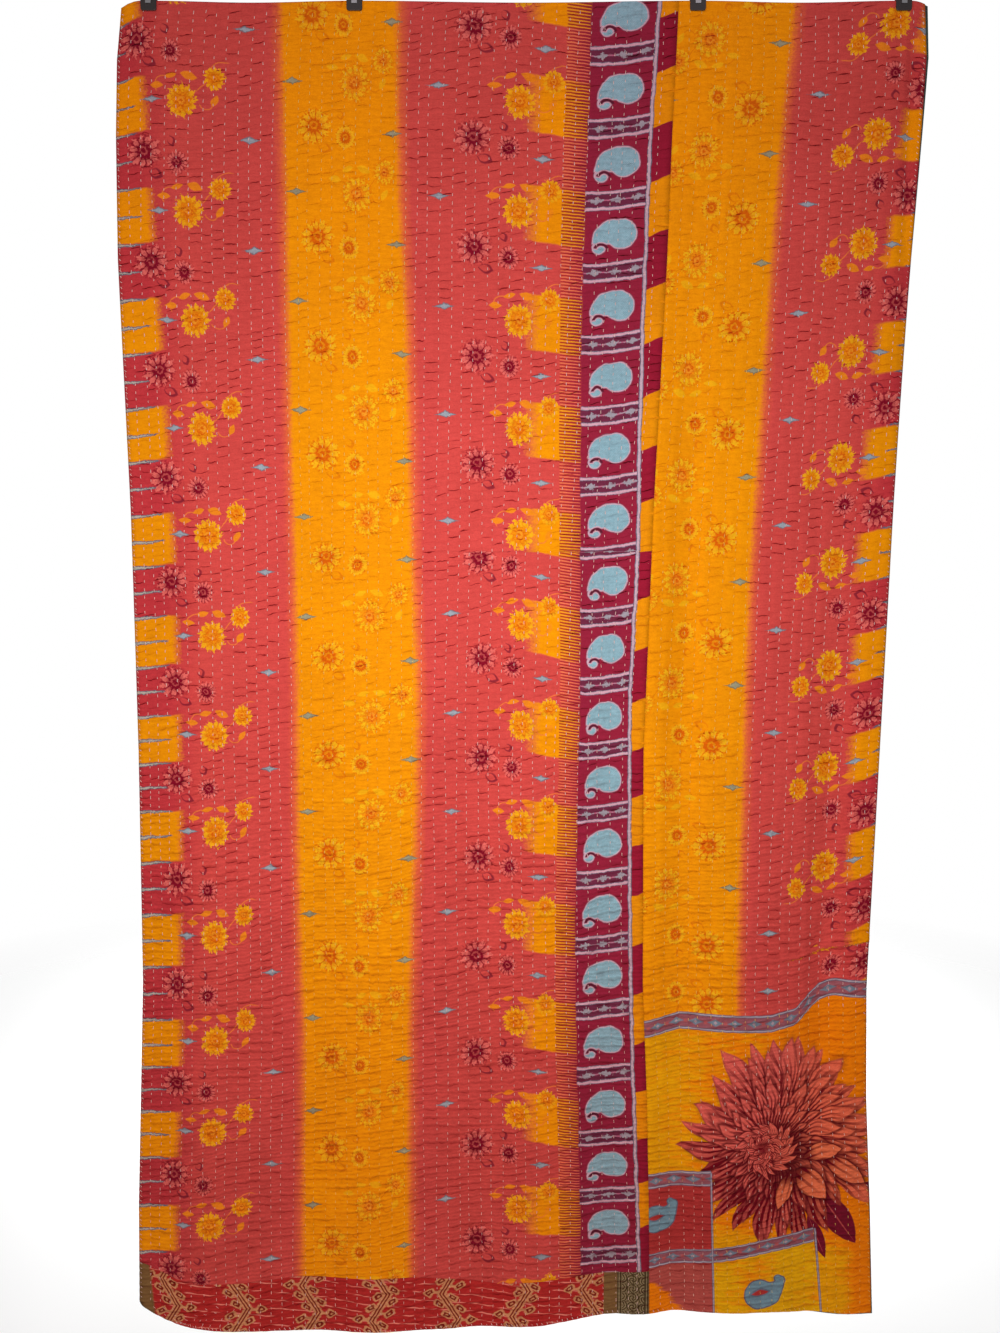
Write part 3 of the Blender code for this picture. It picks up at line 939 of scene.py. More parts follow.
class Paint:
    """A material being written. Masks are 0 to 1, colours are linear, lengths are metres."""

    def __init__(self, name):
        self.material = bpy.data.materials.new(name)
        self.material.use_nodes = True
        self.tree = self.material.node_tree
        self.shader = self.tree.nodes["Principled BSDF"]

    def node(self, kind, settings=None, inputs=None, output=0):
        """Adds one node: its settings first, then its sockets' values or links. Gives back one output."""
        made = self.tree.nodes.new(kind)
        for key, value in (settings or {}).items():
            if key == "stops":
                self.set_stops(made.color_ramp, value)
            else:
                setattr(made, key, value)
        for key, value in (inputs or {}).items():
            if isinstance(value, Value):
                self.tree.links.new(value.socket, made.inputs[key])
            else:
                made.inputs[key].default_value = value
        return Value(self, made.outputs[output])

    @staticmethod
    def set_stops(ramp, stops):
        """Sets a ramp's mode and its stops, given as the mode and then pairs of place and colour."""
        ramp.interpolation = stops[0]
        for index, (place, colour) in enumerate(stops[1:]):
            stop = ramp.elements[index] if index < 2 else ramp.elements.new(place)
            stop.position = place
            stop.color = colour

    def finish(self, colour, roughness, height):
        """Feeds the shader a colour, a roughness and, as bump, a height in metres."""
        bump = self.node("ShaderNodeBump", None, {"Strength": 1.0, "Distance": 1.0, "Height": height})
        for name, value in (("Base Color", colour), ("Roughness", roughness), ("Normal", bump)):
            self.tree.links.new(value.socket, self.shader.inputs[name])
        return self.material

    def math(self, operation, *values, clamp=False):
        settings = {"operation": operation, "use_clamp": clamp}
        return self.node("ShaderNodeMath", settings, dict(enumerate(values)))

    def vector(self, operation, *values, output=0):
        return self.node("ShaderNodeVectorMath", {"operation": operation}, dict(enumerate(values)), output)

    def above(self, value, edge, soft):
        """Mask that rises from 0 to 1 across an edge, over a soft width."""
        return self.math("MULTIPLY_ADD", value, 1.0 / soft, 0.5 - edge / soft, clamp=True)

    def below(self, value, edge, soft):
        return self.math("MULTIPLY_ADD", value, -1.0 / soft, 0.5 + edge / soft, clamp=True)

    def within(self, value, low, high, soft):
        """Mask of a band between two edges."""
        return self.above(value, low, soft) * self.below(value, high, soft)

    def wrap(self, value, period):
        """The value brought into half a period each side of 0."""
        return self.math("WRAP", value, period / 2, -period / 2)

    def both(self, first, second):
        return self.math("MINIMUM", first, second)

    def either(self, first, second):
        return self.math("MAXIMUM", first, second)

    def size(self, value):
        return self.math("ABSOLUTE", value)

    def near(self, value, half, soft):
        """Mask of a line: 1 where the value is within half a width of 0."""
        return self.below(self.size(value), half, soft)

    def moved(self, place, x, y):
        """A place as seen from a point."""
        return self.vector("SUBTRACT", place, (x, y, 0.0))

    def length(self, vector):
        return self.vector("LENGTH", vector, output=1)

    def dot(self, vector, x, y):
        return self.vector("DOT_PRODUCT", vector, (x, y, 0.0), output=1)

    def turned(self, place, x, y, angle):
        """How far a place lies along a direction from a point, and how far to its side."""
        moved = self.moved(place, x, y)
        along = self.dot(moved, math.cos(angle), math.sin(angle))
        return along, self.dot(moved, -math.sin(angle), math.cos(angle))

    def carried(self, name):
        """A value that the mesh carries."""
        return self.node("ShaderNodeAttribute", {"attribute_name": name}, None, "Fac")

    def luck(self, number):
        """A random number, 0 to 1, for each whole number."""
        return self.node("ShaderNodeTexWhiteNoise", {"noise_dimensions": "1D"}, {"W": number})

    def mix(self, mask, under, over):
        """One colour laid over another where the mask is 1."""
        return self.node("ShaderNodeMix", {"data_type": "RGBA"}, {0: mask, 6: under, 7: over}, 2)

    def choose(self, mask, first, second):
        """One vector or another."""
        return self.node("ShaderNodeMix", {"data_type": "VECTOR"}, {0: mask, 4: first, 5: second}, 1)

    def noise(self, place, scale, detail=2.0, rough=0.5, output="Fac"):
        return self.node(
            "ShaderNodeTexNoise", {"noise_dimensions": "2D"},
            {"Vector": place, "Scale": scale, "Detail": detail, "Roughness": rough}, output,
        )

    def uv(self, name):
        return self.node("ShaderNodeUVMap", {"uv_map": name})

    def split(self, vector):
        """The first two parts of a vector."""
        made = self.node("ShaderNodeSeparateXYZ", None, {0: vector})
        return made, Value(self, made.socket.node.outputs[1])

    def join(self, x, y):
        return self.node("ShaderNodeCombineXYZ", None, {0: x, 1: y})


def dye(red, green, blue):
    """A colour as a printed chart names it, 0 to 255, made linear."""
    return tuple((v / 255.0) ** 2.2 for v in (red, green, blue)) + (1.0,)


print("a dye in linear values:", [round(v, 3) for v in dye(226, 80, 74)])

# %% [markdown]
# ## How cotton takes light
#
# Every cloth here is thin old cotton: dull, a little uneven in its dye, with a plain weave too fine to
# model. The wrinkles get a crisp dark line in their bottoms, painted shade with a bump under it, drawn from
# the same phase that shaped them, because two millimetres between grid lines can't draw the sharp pinch
# itself. Their hollows, the ditches along the rows and the fine ripples get painted light and shade too.

# %% Finish of a cloth
WEAVE_SCALE = 1500.0  # threads of about half a millimetre


def cloth_finish(paint, colour, place):
    """Gives a cloth its colour with uneven dye, weave, painted crease shade, and the bump that goes with
    them.

    The painted shade in a crease is deeper as well as darker, so green falls as the power 2.4 of red and
    blue as the power 2. It is painted weaker on pale dyes, so its strength is 1 less 2.6 of the cloth's
    green. The hollows of the wrinkles and the ditches along the rows are painted darker too. Level streaks
    of fine crinkle run between wrinkles, and where the cloth is slack a second ripple, twice as close: both
    are bumps, and both are painted into the colour as light and shade as well. The colour is painted
    darker and deeper towards the top and the foot, as painted shade.
    """
    row, count = paint.split(paint.uv("rows"))
    wrinkle = paint.carried("wrinkle")
    pinch = paint.carried("pinch")
    loose = paint.carried("slack")
    waver = paint.noise(place, 70.0, 2.0) - 0.5
    from_row = paint.size(paint.wrap(row, 1.0))
    off = paint.size(paint.wrap(count + waver * 0.40, 1.0))
    # painted shade: the crisp dark line in the bottom of each wrinkle, drawn from the stitch count
    line = paint.math("MULTIPLY_ADD", off, -17.5, 1.16, clamp=True)
    # a fine ripple where the cloth is slack: a bump, and painted light and shade in the colour
    fine = paint.math("SINE", count * (4 * math.pi) + waver * 7.0) * loose
    # painted shade in the hollow of each wrinkle, darkest at its bottom
    hollow = 1.0 - paint.math("MULTIPLY", off, 2.6, clamp=True)
    inside = paint.math("MULTIPLY_ADD", from_row, 4.0, 0.10, clamp=True)
    patchy = paint.above(paint.noise(place, 45.0, 1.0), 0.42, 0.30)
    green = paint.split(colour)[1]
    strength = paint.math("MULTIPLY_ADD", green, -2.6, 1.00, clamp=True)
    # painted shade of the crease line, weaker on pale dyes and patchy; the same line also sinks the bump
    crease = line * pinch * inside
    kept = 1.0 - crease * strength * (0.45 + 0.55 * patchy)
    # painted shade in the ditch along each stitch row
    row_ditch_shade = paint.below(from_row, 0.05, 0.12)
    blotch = paint.noise(place, 9.0, 3.0)
    grain = paint.noise(place, 130.0, 2.0)
    slub = paint.noise(paint.vector("MULTIPLY", place, (1.0, 0.7, 1.0)), 420.0, 2.0, 0.7)
    weave = paint.noise(paint.vector("MULTIPLY", place, (1.0, 0.45, 1.0)), WEAVE_SCALE, 1.0)
    # level crinkle streaks: a bump, and painted light and shade in the colour
    crinkle_bump_and_shade = paint.noise(paint.vector("MULTIPLY", place, (0.28, 1.5, 1.0)), 150.0, 2.0, 0.6)
    light = 0.60 + 0.16 * blotch + 0.16 * grain + 0.24 * slub + 0.06 * weave + 0.26 * crinkle_bump_and_shade
    # painted shade in the ditches along the rows and in the hollows of the wrinkles
    light = light - 0.08 * row_ditch_shade - (0.27 * hollow - 0.04) * wrinkle
    # painted light and shade of the fine ripple and of the crinkle streaks where the cloth is slack
    light = light + (0.075 * fine + 0.16 * (crinkle_bump_and_shade - 0.5) * loose)
    # painted shade: the colour darker and deeper towards the top and the foot, most of all on red
    end = 0.10 * paint.above(paint.size(paint.split(paint.uv("place"))[1] - 1.02), 0.62, 0.50)
    deep = light ** 1.3 * (1.0 - end)
    plain = 1.0 - end * paint.below(green, 0.20, 0.20)
    parts = {0: light * kept * plain, 1: deep * kept ** 2.4, 2: deep * kept ** 2.0}
    shaded = paint.vector("MULTIPLY", colour, paint.node("ShaderNodeCombineXYZ", None, parts))
    height = weave * 0.00010 + slub * 0.00018 + grain * 0.00030 + crinkle_bump_and_shade * 0.00075
    height = height - crease * 0.0005 + fine * 0.00016
    paint.shader.inputs["Specular IOR Level"].default_value = 0.10
    return paint.finish(shaded, 0.80 + 0.12 * blotch, height)


print("weave scale", WEAVE_SCALE)

# %% [markdown]
# ## Flowers of the print
#
# Two kinds of flower repeat all over the sari: a yellow one with many notched petals, and a dark-eyed coral
# one. Both are drawn in polar form: the angle makes the petals, the distance makes eye, ring and rim. Every
# flower in a cluster is the same drawing at another place and size, so the material first finds which
# centre a point is nearest to, and then draws one flower.

# %% Nearest centre, and the petals
RED = dye(223, 80, 75)
CRIMSON = dye(208, 62, 68)
BLED = dye(240, 104, 66)
ORANGE = dye(255, 156, 5)
MAROON = dye(158, 40, 64)
DARK_MAROON = dye(120, 24, 50)
GREY_LILAC = dye(168, 160, 170)
SLATE = dye(104, 104, 124)
LILAC = dye(222, 172, 188)
PALE_BLUE = dye(134, 178, 194)


def nearest(paint, local, flowers):
    """Place in radii from the nearest of some flowers, each given as x, y, half width and half height."""
    best, best_far = None, None
    for x, y, half_width, half_height in flowers:
        radii = (1.0 / half_width, 1.0 / half_height, 0.0)
        scaled = paint.vector("MULTIPLY", paint.moved(local, x, y), radii)
        far = paint.length(scaled)
        if best is None:
            best, best_far = scaled, far
        else:
            nearer = paint.math("LESS_THAN", far, best_far)
            best = paint.choose(nearer, best, scaled)
            best_far = paint.both(far, best_far)
    return best, best_far


def polar(paint, scaled):
    """Angle of a local vector."""
    x, y = paint.split(scaled)
    return paint.math("ARCTAN2", y, x)


PETALS = 13
INNER_PETALS = 9


def yellow_flower(paint, colour, scaled, far, ragged, in_orange):
    """Lays a yellow flower on a colour: 13 petals, whose reach is a wave of triangles to the power 0.7.

    A shorter layer of 9 stands on its own shadow, and then come a deep orange disc, a ring and an eye.
    """
    angle = polar(paint, scaled)
    point = 1.0 - 2.0 * paint.size(paint.wrap(angle * (PETALS / (2 * math.pi)) + ragged * 4.0, 1.0))
    inner = 1.0 - 2.0 * paint.size(paint.wrap(angle * (INNER_PETALS / (2 * math.pi)) + 0.3, 1.0))
    notch = paint.math("COSINE", angle * 39.0 + ragged * 30.0)
    yellow = paint.mix(in_orange, dye(255, 178, 30), dye(255, 188, 30))
    shadow = paint.mix(in_orange, dye(230, 108, 14), dye(236, 118, 8))
    halo = paint.below(far + ragged * 3.0, 0.98, 0.50) * in_orange
    colour = paint.mix(halo * 0.75, colour, dye(238, 124, 4))
    torn = ragged * (1.6 + 2.0 * in_orange)
    petals = paint.above(0.74 + 0.25 * point ** 0.7 + 0.04 * notch + torn - far, 0.0, 0.08)
    petal = paint.mix(paint.below(point, 0.30, 0.3) * 0.55, yellow, shadow)
    layer = far - 0.16 * inner - torn
    petal = paint.mix(paint.below(layer, 0.50, 0.18) * 0.85, petal, shadow)
    petal = paint.mix(paint.below(layer, 0.38, 0.12) * 0.9, petal, dye(252, 152, 22))
    petal = paint.mix(paint.below(far + ragged * 2.0, 0.34, 0.14) * 0.9, petal, dye(230, 100, 12))
    ring = paint.within(far + ragged + 0.02 * angle, 0.10, 0.22, 0.08)
    petal = paint.mix(ring * 0.85, petal, dye(255, 166, 44))
    return paint.mix(petals, colour, petal)


def dark_flower(paint, colour, scaled, far, ragged, many, in_orange):
    """Lays a coral flower on a colour: ragged petals of reach |cos(n angle / 2)| to a low power.

    Its dark eye runs out between them, and has a ring and a dot. `many` makes the petals small beads.
    """
    angle = polar(paint, scaled)
    turns = 5.5 + many * 2.5
    lobe = paint.size(paint.math("COSINE", paint.math("MULTIPLY", angle, turns)))
    uneven = paint.math("COSINE", angle * 2.0 + 1.0) * (1.0 - many)
    notch = paint.math("COSINE", angle * 33.0 + ragged * 20.0)
    petal = paint.mix(in_orange, dye(242, 112, 104), dye(255, 184, 30))
    dark = paint.mix(in_orange, dye(138, 18, 42), dye(230, 104, 10))
    colour = paint.mix(paint.below(far + ragged * 3.0, 0.86, 0.30) * 0.80, colour, dark)
    petal = paint.mix(paint.below(far + ragged * 3.0, 0.62, 0.30) * 0.45, petal, dark)
    reach = lobe ** (0.40 - 0.16 * many - 0.18 * in_orange) * (0.96 + 0.08 * uneven) + 0.05 * notch
    colour = paint.mix(paint.above(reach + ragged * 2.2 - far, 0.0, 0.08), colour, petal)
    eye = 0.56 + 0.04 * many
    colour = paint.mix(paint.below(far + 0.14 * lobe - ragged * 1.4 - eye, 0.0, 0.10), colour, dark)
    ring = paint.within(far + ragged * 0.8 + 0.02 * angle, 0.14, 0.25, 0.06)
    return paint.mix(ring * 0.85, colour, petal)


def leaf(paint, local, x, y, angle, long, wide, soft=0.30):
    """Mask of a pointed leaf: where side / half width + (along / half length) squared is under 1."""
    along, side = paint.turned(local, x, y, angle)
    reach = along * (2.0 / long)
    return paint.below(reach * reach + paint.size(side) * (2.0 / wide), 1.0, soft)


def arc(paint, local, x, y, radius, thick, turn, keep=0.2):
    """Mask of a tendril: a thin ring, kept where its way along a direction is over a share of its radius."""
    moved = paint.moved(local, x, y)
    far = paint.length(moved)
    side = paint.dot(moved, math.cos(turn), math.sin(turn))
    ring = paint.near(far - radius, thick / 2, thick * 0.6)
    return ring * paint.above(side, radius * keep, radius * 0.2)


print("petals of a yellow flower:", PETALS, "and", INNER_PETALS)

# %% [markdown]
# ## Ground, clusters and spindles
#
# The ground is red, with a broad orange band whose edges bled into the red when it was dyed. Clusters of
# flowers stand in columns, three of each kind, so a ramp in constant mode serves as a lookup table: it
# says, for each `p`, where the nearest column is. Small grey spindles stand between them.

# %% Lookup by ramp
LOOKUP_START = -0.15
LOOKUP_SPAN = 1.0


def on_ramp(value):
    """A value of p as a place on a ramp."""
    return (value - LOOKUP_START) / LOOKUP_SPAN


def lookup(paint, p, table):
    """For each p, the first row of the table whose limit is above it, as a vector of p and q."""
    places = [0.0] + [on_ramp(limit) for limit, _, _ in table[:-1]]
    colours = [(on_ramp(at_p), at_q / PRINT_REPEAT + 0.5, 0.0, 1.0) for _, at_p, at_q in table]
    found = paint.node("ShaderNodeValToRGB", {"stops": ("CONSTANT", *zip(places, colours))}, {0: on_ramp(p)})
    span = (LOOKUP_SPAN, PRINT_REPEAT, 0.0)
    return paint.vector("MULTIPLY_ADD", found, span, (LOOKUP_START, -PRINT_REPEAT / 2, 0.0))


def local_to(paint, place, centre):
    """Coordinates relative to the repeat of a centre that is nearest along q."""
    moved = paint.vector("SUBTRACT", place, centre)
    return paint.vector("WRAP", moved, (10.0, PRINT_REPEAT / 2, 1.0), (-10.0, -PRINT_REPEAT / 2, -1.0))


#    up to p   at p    at q
YELLOW_CLUSTERS = ((0.130, 0.000, 0.000), (0.390, 0.263, -0.027), (9.0, 0.512, -0.002))
DARK_CLUSTERS = ((0.075, -0.064, 0.078), (0.330, 0.194, 0.039), (9.0, 0.445, 0.054))
SPINDLES = (
    (0.020, -0.046, -0.002),
    (0.125, 0.093, 0.061),
    (0.240, 0.159, -0.031),
    (0.360, 0.326, 0.051),
    (0.470, 0.395, -0.025),
    (9.0, 0.547, 0.085),
)
print("columns of clusters:", len(YELLOW_CLUSTERS) + len(DARK_CLUSTERS))

# %% Ground and flowers of the sari


def sari_ground(paint, p):
    """Ground colours by p: red, the orange band with bled edges, red again."""
    stops = (
        (-0.075, CRIMSON), (-0.020, RED), (0.126, RED), (0.137, BLED), (0.147, ORANGE), (0.330, ORANGE),
        (0.341, BLED), (0.354, RED), (0.600, RED),
    )
    ramp = [(on_ramp(at), colour) for at, colour in stops]
    return paint.node("ShaderNodeValToRGB", {"stops": ("LINEAR", *ramp)}, {0: on_ramp(p)})


def edge_blocks(paint, colour, p, q, ragged, inner):
    """Yellow blocks at the sari's edge, and tapering grey lines with slate rims, four to a repeat."""
    leaning = q + 0.10 * (p + 0.06)
    lit = paint.within(paint.wrap(leaning - 0.004, PRINT_REPEAT), -0.041, 0.042, 0.004)
    block = lit * paint.below(p + ragged * 0.02, inner, 0.016)
    colour = paint.mix(block, colour, ORANGE)
    spread = paint.math("MULTIPLY_ADD", p, -0.040, -0.0024, clamp=True)
    off_line = paint.size(paint.wrap(leaning + 0.037 + ragged * 0.004, PRINT_REPEAT / 4))
    rim = paint.below(off_line - spread, 0.0006, 0.0010) * paint.below(p, -0.074, 0.006)
    colour = paint.mix(rim, colour, SLATE)
    core = paint.below(off_line - spread, -0.0007, 0.0010) * paint.below(p, -0.080, 0.006)
    return paint.mix(core, colour, dye(196, 186, 172))


def tooth_blocks(paint, colour, p, q, ragged):
    """Orange blocks that stand against the comb, soft on their left side. Gives back where they run too."""
    leaning = paint.wrap(q - 0.10 * (p - 0.554), PRINT_REPEAT)
    side = paint.above(p + ragged * 0.02, 0.531, 0.026)
    block = paint.within(leaning, -0.043, 0.045, 0.003) * side
    return paint.mix(block, colour, ORANGE), paint.within(leaning, -0.043, 0.045, 0.003)


def yellow_cluster(paint, colour, local, ragged, in_orange):
    """Stems, leaves, a large yellow flower and a small one."""
    stem_colour = paint.mix(in_orange, dye(250, 130, 60), dye(240, 136, 8))
    for mask in (
        arc(paint, local, -0.026, -0.024, 0.014, 0.0018, math.radians(215), 0.3),
        arc(paint, local, 0.035, 0.004, 0.0095, 0.0018, math.radians(80), 0.0),
        arc(paint, local, 0.062, -0.034, 0.025, 0.0016, math.radians(238), 0.7),
        leaf(paint, local, 0.029, -0.021, math.radians(-52), 0.030, 0.0020, 0.6),
    ):
        colour = paint.mix(mask * 0.85, colour, stem_colour)
    for x, y, angle, long, wide in (
        (0.0125, -0.0385, 22, 0.024, 0.012),
        (-0.0140, -0.0390, -15, 0.020, 0.009),
        (-0.0370, -0.0240, 5, 0.021, 0.010),
        (0.0470, 0.0010, -62, 0.019, 0.010),
    ):
        mask = leaf(paint, local, x, y, math.radians(angle), long, wide)
        colour = paint.mix(mask * 0.9, colour, paint.mix(in_orange, dye(252, 146, 28), dye(255, 182, 24)))
    scaled, far = nearest(paint, local, ((0.0, 0.0, 0.0235, 0.0275), (0.048, -0.034, 0.0165, 0.0190)))
    return yellow_flower(paint, colour, scaled, far, ragged, in_orange)


def dark_cluster(paint, colour, local, ragged, in_orange):
    """Two leaves drawn in outline, a large dark-eyed flower and a small bead-like one."""
    for x, y, angle, long, wide in ((0.045, -0.016, 70, 0.017, 0.013), (0.017, 0.034, 20, 0.024, 0.015)):
        whole = leaf(paint, local, x, y, math.radians(angle), long, wide)
        core = leaf(paint, local, x - 0.0018, y - 0.0014, math.radians(angle), long * 0.72, wide * 0.66)
        outline = whole * (1.0 - core)
        colour = paint.mix(outline * 0.75, colour, paint.mix(in_orange, DARK_MAROON, dye(234, 124, 10)))
    scaled, far = nearest(paint, local, ((0.0, 0.0, 0.0265, 0.0275), (0.052, 0.017, 0.0165, 0.0185)))
    small = paint.above(paint.split(local)[0], 0.030, 0.002)
    return dark_flower(paint, colour, scaled, far, ragged, small, in_orange)


def spindle(paint, colour, local, ragged, in_orange):
    """A grey lozenge: x / half length and y / half height, each to the power 0.75, sum to under 1."""
    x, y = paint.split(local)
    thin = (paint.size(x) / 0.0185) ** 0.75
    fat = (paint.size(y) / 0.0066) ** 0.75
    inside = 1.0 - thin - fat + ragged * 1.6
    for edge, soft, red_ground, orange_ground in (
        (0.0, 0.18, dye(120, 114, 124), dye(132, 118, 84)),
        (0.20, 0.26, dye(164, 174, 184), dye(164, 160, 132)),
    ):
        mask = paint.above(inside, edge, soft)
        colour = paint.mix(mask, colour, paint.mix(in_orange, red_ground, orange_ground))
    return colour


def sari_flowers(paint, colour, place, p, ragged):
    """Clusters and spindles over the ground."""
    in_orange = paint.within(p, 0.142, 0.340, 0.01)
    for table, motif in (
        (YELLOW_CLUSTERS, yellow_cluster),
        (DARK_CLUSTERS, dark_cluster),
        (SPINDLES, spindle),
    ):
        local = local_to(paint, place, lookup(paint, p, table))
        colour = motif(paint, colour, local, ragged, in_orange)
    return colour


print("spindles in a repeat:", len(SPINDLES))

# %% [markdown]
# ## The paisley border
#
# Down the left panel's right side runs a maroon border: a comb of fine lines, then paisleys between pairs
# of lilac bars, a grey line, and teeth against the seam. The paisley is a union of circles worked out by
# distances: a round body, the part of a larger circle that sweeps to the left, and a small one for the
# curl, less the upper half of a ring that winds the curl in.

# %% Border
BORDER_REPEAT = PRINT_REPEAT * 2 / 3
BORDER_START = 0.611  # p where the comb ends and the maroon begins
GREY_LINE = 0.706
COMB_STEP = 0.00505
TWILL = 0.0026  # from line to line of the paisleys' slanting hatch


def circle(paint, local, x, y, radius):
    """Distance to a circle's rim, negative inside."""
    return paint.length(paint.moved(local, x, y)) - radius


def paisley_distance(paint, local):
    """Distances to a paisley's rim and to its cut. Its body is at the origin, its curl at the lower left."""
    x, y = paint.split(local)
    body = circle(paint, local, 0.0, 0.0, 0.0241)
    sweep = circle(paint, local, -0.0073, 0.0137, 0.0367)
    neck = paint.either(paint.either(sweep, y - 0.0169), x + 0.0010)
    curl = circle(paint, local, -0.0337, 0.0229, 0.0101)
    ring = paint.size(circle(paint, local, -0.0301, 0.0261, 0.0090)) - 0.0029
    notch = paint.either(ring, y - 0.0246)
    shape = paint.both(paint.both(body, neck), curl)
    return paint.either(shape, -notch), notch


def comb_lines(paint, colour, p, straight_q, in_block, ragged):
    """Fine level lines, about 5 mm apart, that thin out into the border's maroon."""
    comb = paint.within(p, 0.577, 0.6115, 0.002)
    teeth = paint.math("SINE", (straight_q - 0.06 * p + ragged * 0.0005) * (2 * math.pi / COMB_STEP))
    bright = paint.mix(in_block, dye(244, 120, 84), dye(250, 160, 40))
    between = paint.mix(in_block, dye(190, 50, 56), dye(190, 66, 36))
    between = paint.mix(paint.above(p, 0.594, 0.030) * 0.85, between, MAROON)
    thin_out = 0.9 * paint.above(p, 0.598, 0.034)
    colour = paint.mix(comb, colour, paint.mix(paint.above(teeth - thin_out, -0.1, 0.7), between, bright))
    return paint.mix(paint.above(p, BORDER_START, 0.002), colour, MAROON)


def border_bars(paint, colour, p, q, ragged):
    """Pairs of lilac bars, which rise as the square of the way across, with strung beads between them."""
    way = (p - BORDER_START) / 0.095
    rise = way * way * 0.011
    bar_q = paint.wrap(q - 0.0328 + rise, BORDER_REPEAT)
    inner = paint.within(p, BORDER_START, GREY_LINE, 0.002)
    purple = paint.near(bar_q, 0.0125, 0.002) * inner
    colour = paint.mix(purple, colour, dye(118, 48, 72))
    bead_p = paint.size(paint.wrap(p - 0.6285, 0.0312)) / 0.0138
    bead_q = paint.size(bar_q) / 0.0056
    bead = 1.0 - bead_p ** 0.75 - bead_q ** 0.75 + ragged * 1.6
    string = paint.near(bar_q, 0.0010, 0.0012)
    colour = paint.mix(string * inner, colour, dye(206, 110, 140))
    colour = paint.mix(paint.above(bead, 0.0, 0.3) * inner, colour, GREY_LILAC)
    bar_off = paint.size(paint.size(bar_q) - 0.0128 + ragged * 0.002)
    colour = paint.mix(paint.below(bar_off, 0.0030, 0.0012) * inner, colour, SLATE)
    return paint.mix(paint.below(bar_off, 0.0020, 0.0012) * inner, colour, LILAC)


def border_paisley(paint, colour, p, q):
    """A pale blue paisley of twill and mottle, with a lilac rim and a dark cut, once in each repeat."""
    local = paint.join(p - 0.6676, paint.wrap(q - 0.0833, BORDER_REPEAT))
    far, notch = paisley_distance(paint, local)
    x, y = paint.split(local)
    twill = paint.math("SINE", (x + y) * (2 * math.pi / TWILL))
    mottled = paint.above(paint.noise(local, 150.0, 3.0, 0.7), 0.50, 0.30)
    fill = paint.mix(paint.above(twill, 0.0, 1.6) * 0.5, PALE_BLUE, dye(192, 212, 220))
    fill = paint.mix(mottled * 0.35, fill, dye(112, 160, 174))
    colour = paint.mix(paint.below(far, 0.0013, 0.0014) * 0.6, colour, SLATE)
    colour = paint.mix(paint.below(far, 0.0004, 0.0012), colour, LILAC)
    colour = paint.mix(paint.below(far, -0.0012, 0.0012), colour, fill)
    cut = paint.below(notch, -0.0012, 0.0014) * paint.below(far, 0.006, 0.003)
    return paint.mix(cut, colour, dye(100, 34, 54))


def seam_side(paint, colour, p, q, ragged):
    """The grey line at the seam, and orange and crimson teeth beyond it."""
    off_line = paint.size(p - GREY_LINE + ragged * 0.001)
    past = paint.above(p, GREY_LINE, 0.001)
    step = paint.wrap(q + 0.40 * (p - GREY_LINE) - 0.0755, PRINT_REPEAT)
    tooth = paint.near(step, 0.0425, 0.0015)
    colour = paint.mix(past, colour, paint.mix(tooth, dye(246, 150, 14), dye(160, 32, 56)))
    colour = paint.mix(paint.below(off_line, 0.0034, 0.0010), colour, SLATE)
    return paint.mix(paint.below(off_line, 0.0021, 0.0010), colour, dye(206, 176, 190))


def sari_print(paint, with_border):
    """The whole print as a colour, and the place it is read at."""
    place = paint.uv("print")
    rough_edge = paint.noise(place, 260.0, 2.0, 0.6) - 0.5
    drawn = paint.vector("SUBTRACT", paint.noise(place, 42.0, 2.0, 0.5, "Color"), (0.5, 0.5, 0.5))
    straight_q = paint.split(place)[1]
    place = paint.vector("MULTIPLY_ADD", drawn, (0.0045, 0.0050, 0.0), place)
    p, q = paint.split(place)
    colour = sari_ground(paint, p + rough_edge * 0.012)
    colour = edge_blocks(paint, colour, p, q, rough_edge, -0.058 if with_border else -0.040)
    colour, in_block = tooth_blocks(paint, colour, p, q, rough_edge)
    colour = sari_flowers(paint, colour, place, p, rough_edge * 0.30)
    if with_border:
        colour = comb_lines(paint, colour, p, straight_q, in_block, rough_edge)
        colour = border_bars(paint, colour, p, q, rough_edge)
        colour = border_paisley(paint, colour, p, q)
        colour = seam_side(paint, colour, p, q, rough_edge)
    return colour, place


paint = Paint("left_panel_cotton")
colour, place = sari_print(paint, True)
left_cotton = cloth_finish(paint, colour, place)
print("nodes in the left panel's material:", len(paint.tree.nodes))

# %% [markdown]
# ## The end piece of the right panel
#
# A sari ends in a richer piece. Here it fills the foot of the right panel: a mauve strip of spindles, a
# ground that runs from yellow to orange, one very large flower, and a few compartments with paisleys. Its
# strips run unevenly across the quilt, so their lines are given by tables and go to the material as values
# on the mesh.

# %% Lines of the end piece
#       across   down
STRIP_TOPS = (
    np.array([
        (0.205, 1.663), (0.266, 1.650), (0.369, 1.651), (0.420, 1.652), (0.463, 1.642), (0.488, 1.617),
        (0.508, 1.601), (0.530, 1.591), (0.620, 1.591),
    ]),
    np.array([(0.205, 1.936), (0.300, 1.932), (0.330, 1.928)]),
    np.array([(0.205, 2.082), (0.328, 2.0695), (0.504, 2.0385), (0.600, 2.022)]),
)
STRIP_TALL = (0.0300, 0.0270, 0.0255)


def strip_values(piece, grid):
    """Depth below the top edge of each mauve strip, as a value at each point of the right panel."""
    lines, columns = grid
    shares = even_columns(1, 2, columns)
    share, down, row = depth_grid(shares, lines, 0.0, curve(HEM, 1, at_hem(shares)))
    x = across(share, down) + stray(row, down)
    for number, table in enumerate(STRIP_TOPS, start=1):
        add_value(piece, f"strip_{number}", down - curve(table, 1, x), (BACK_STEP, columns))


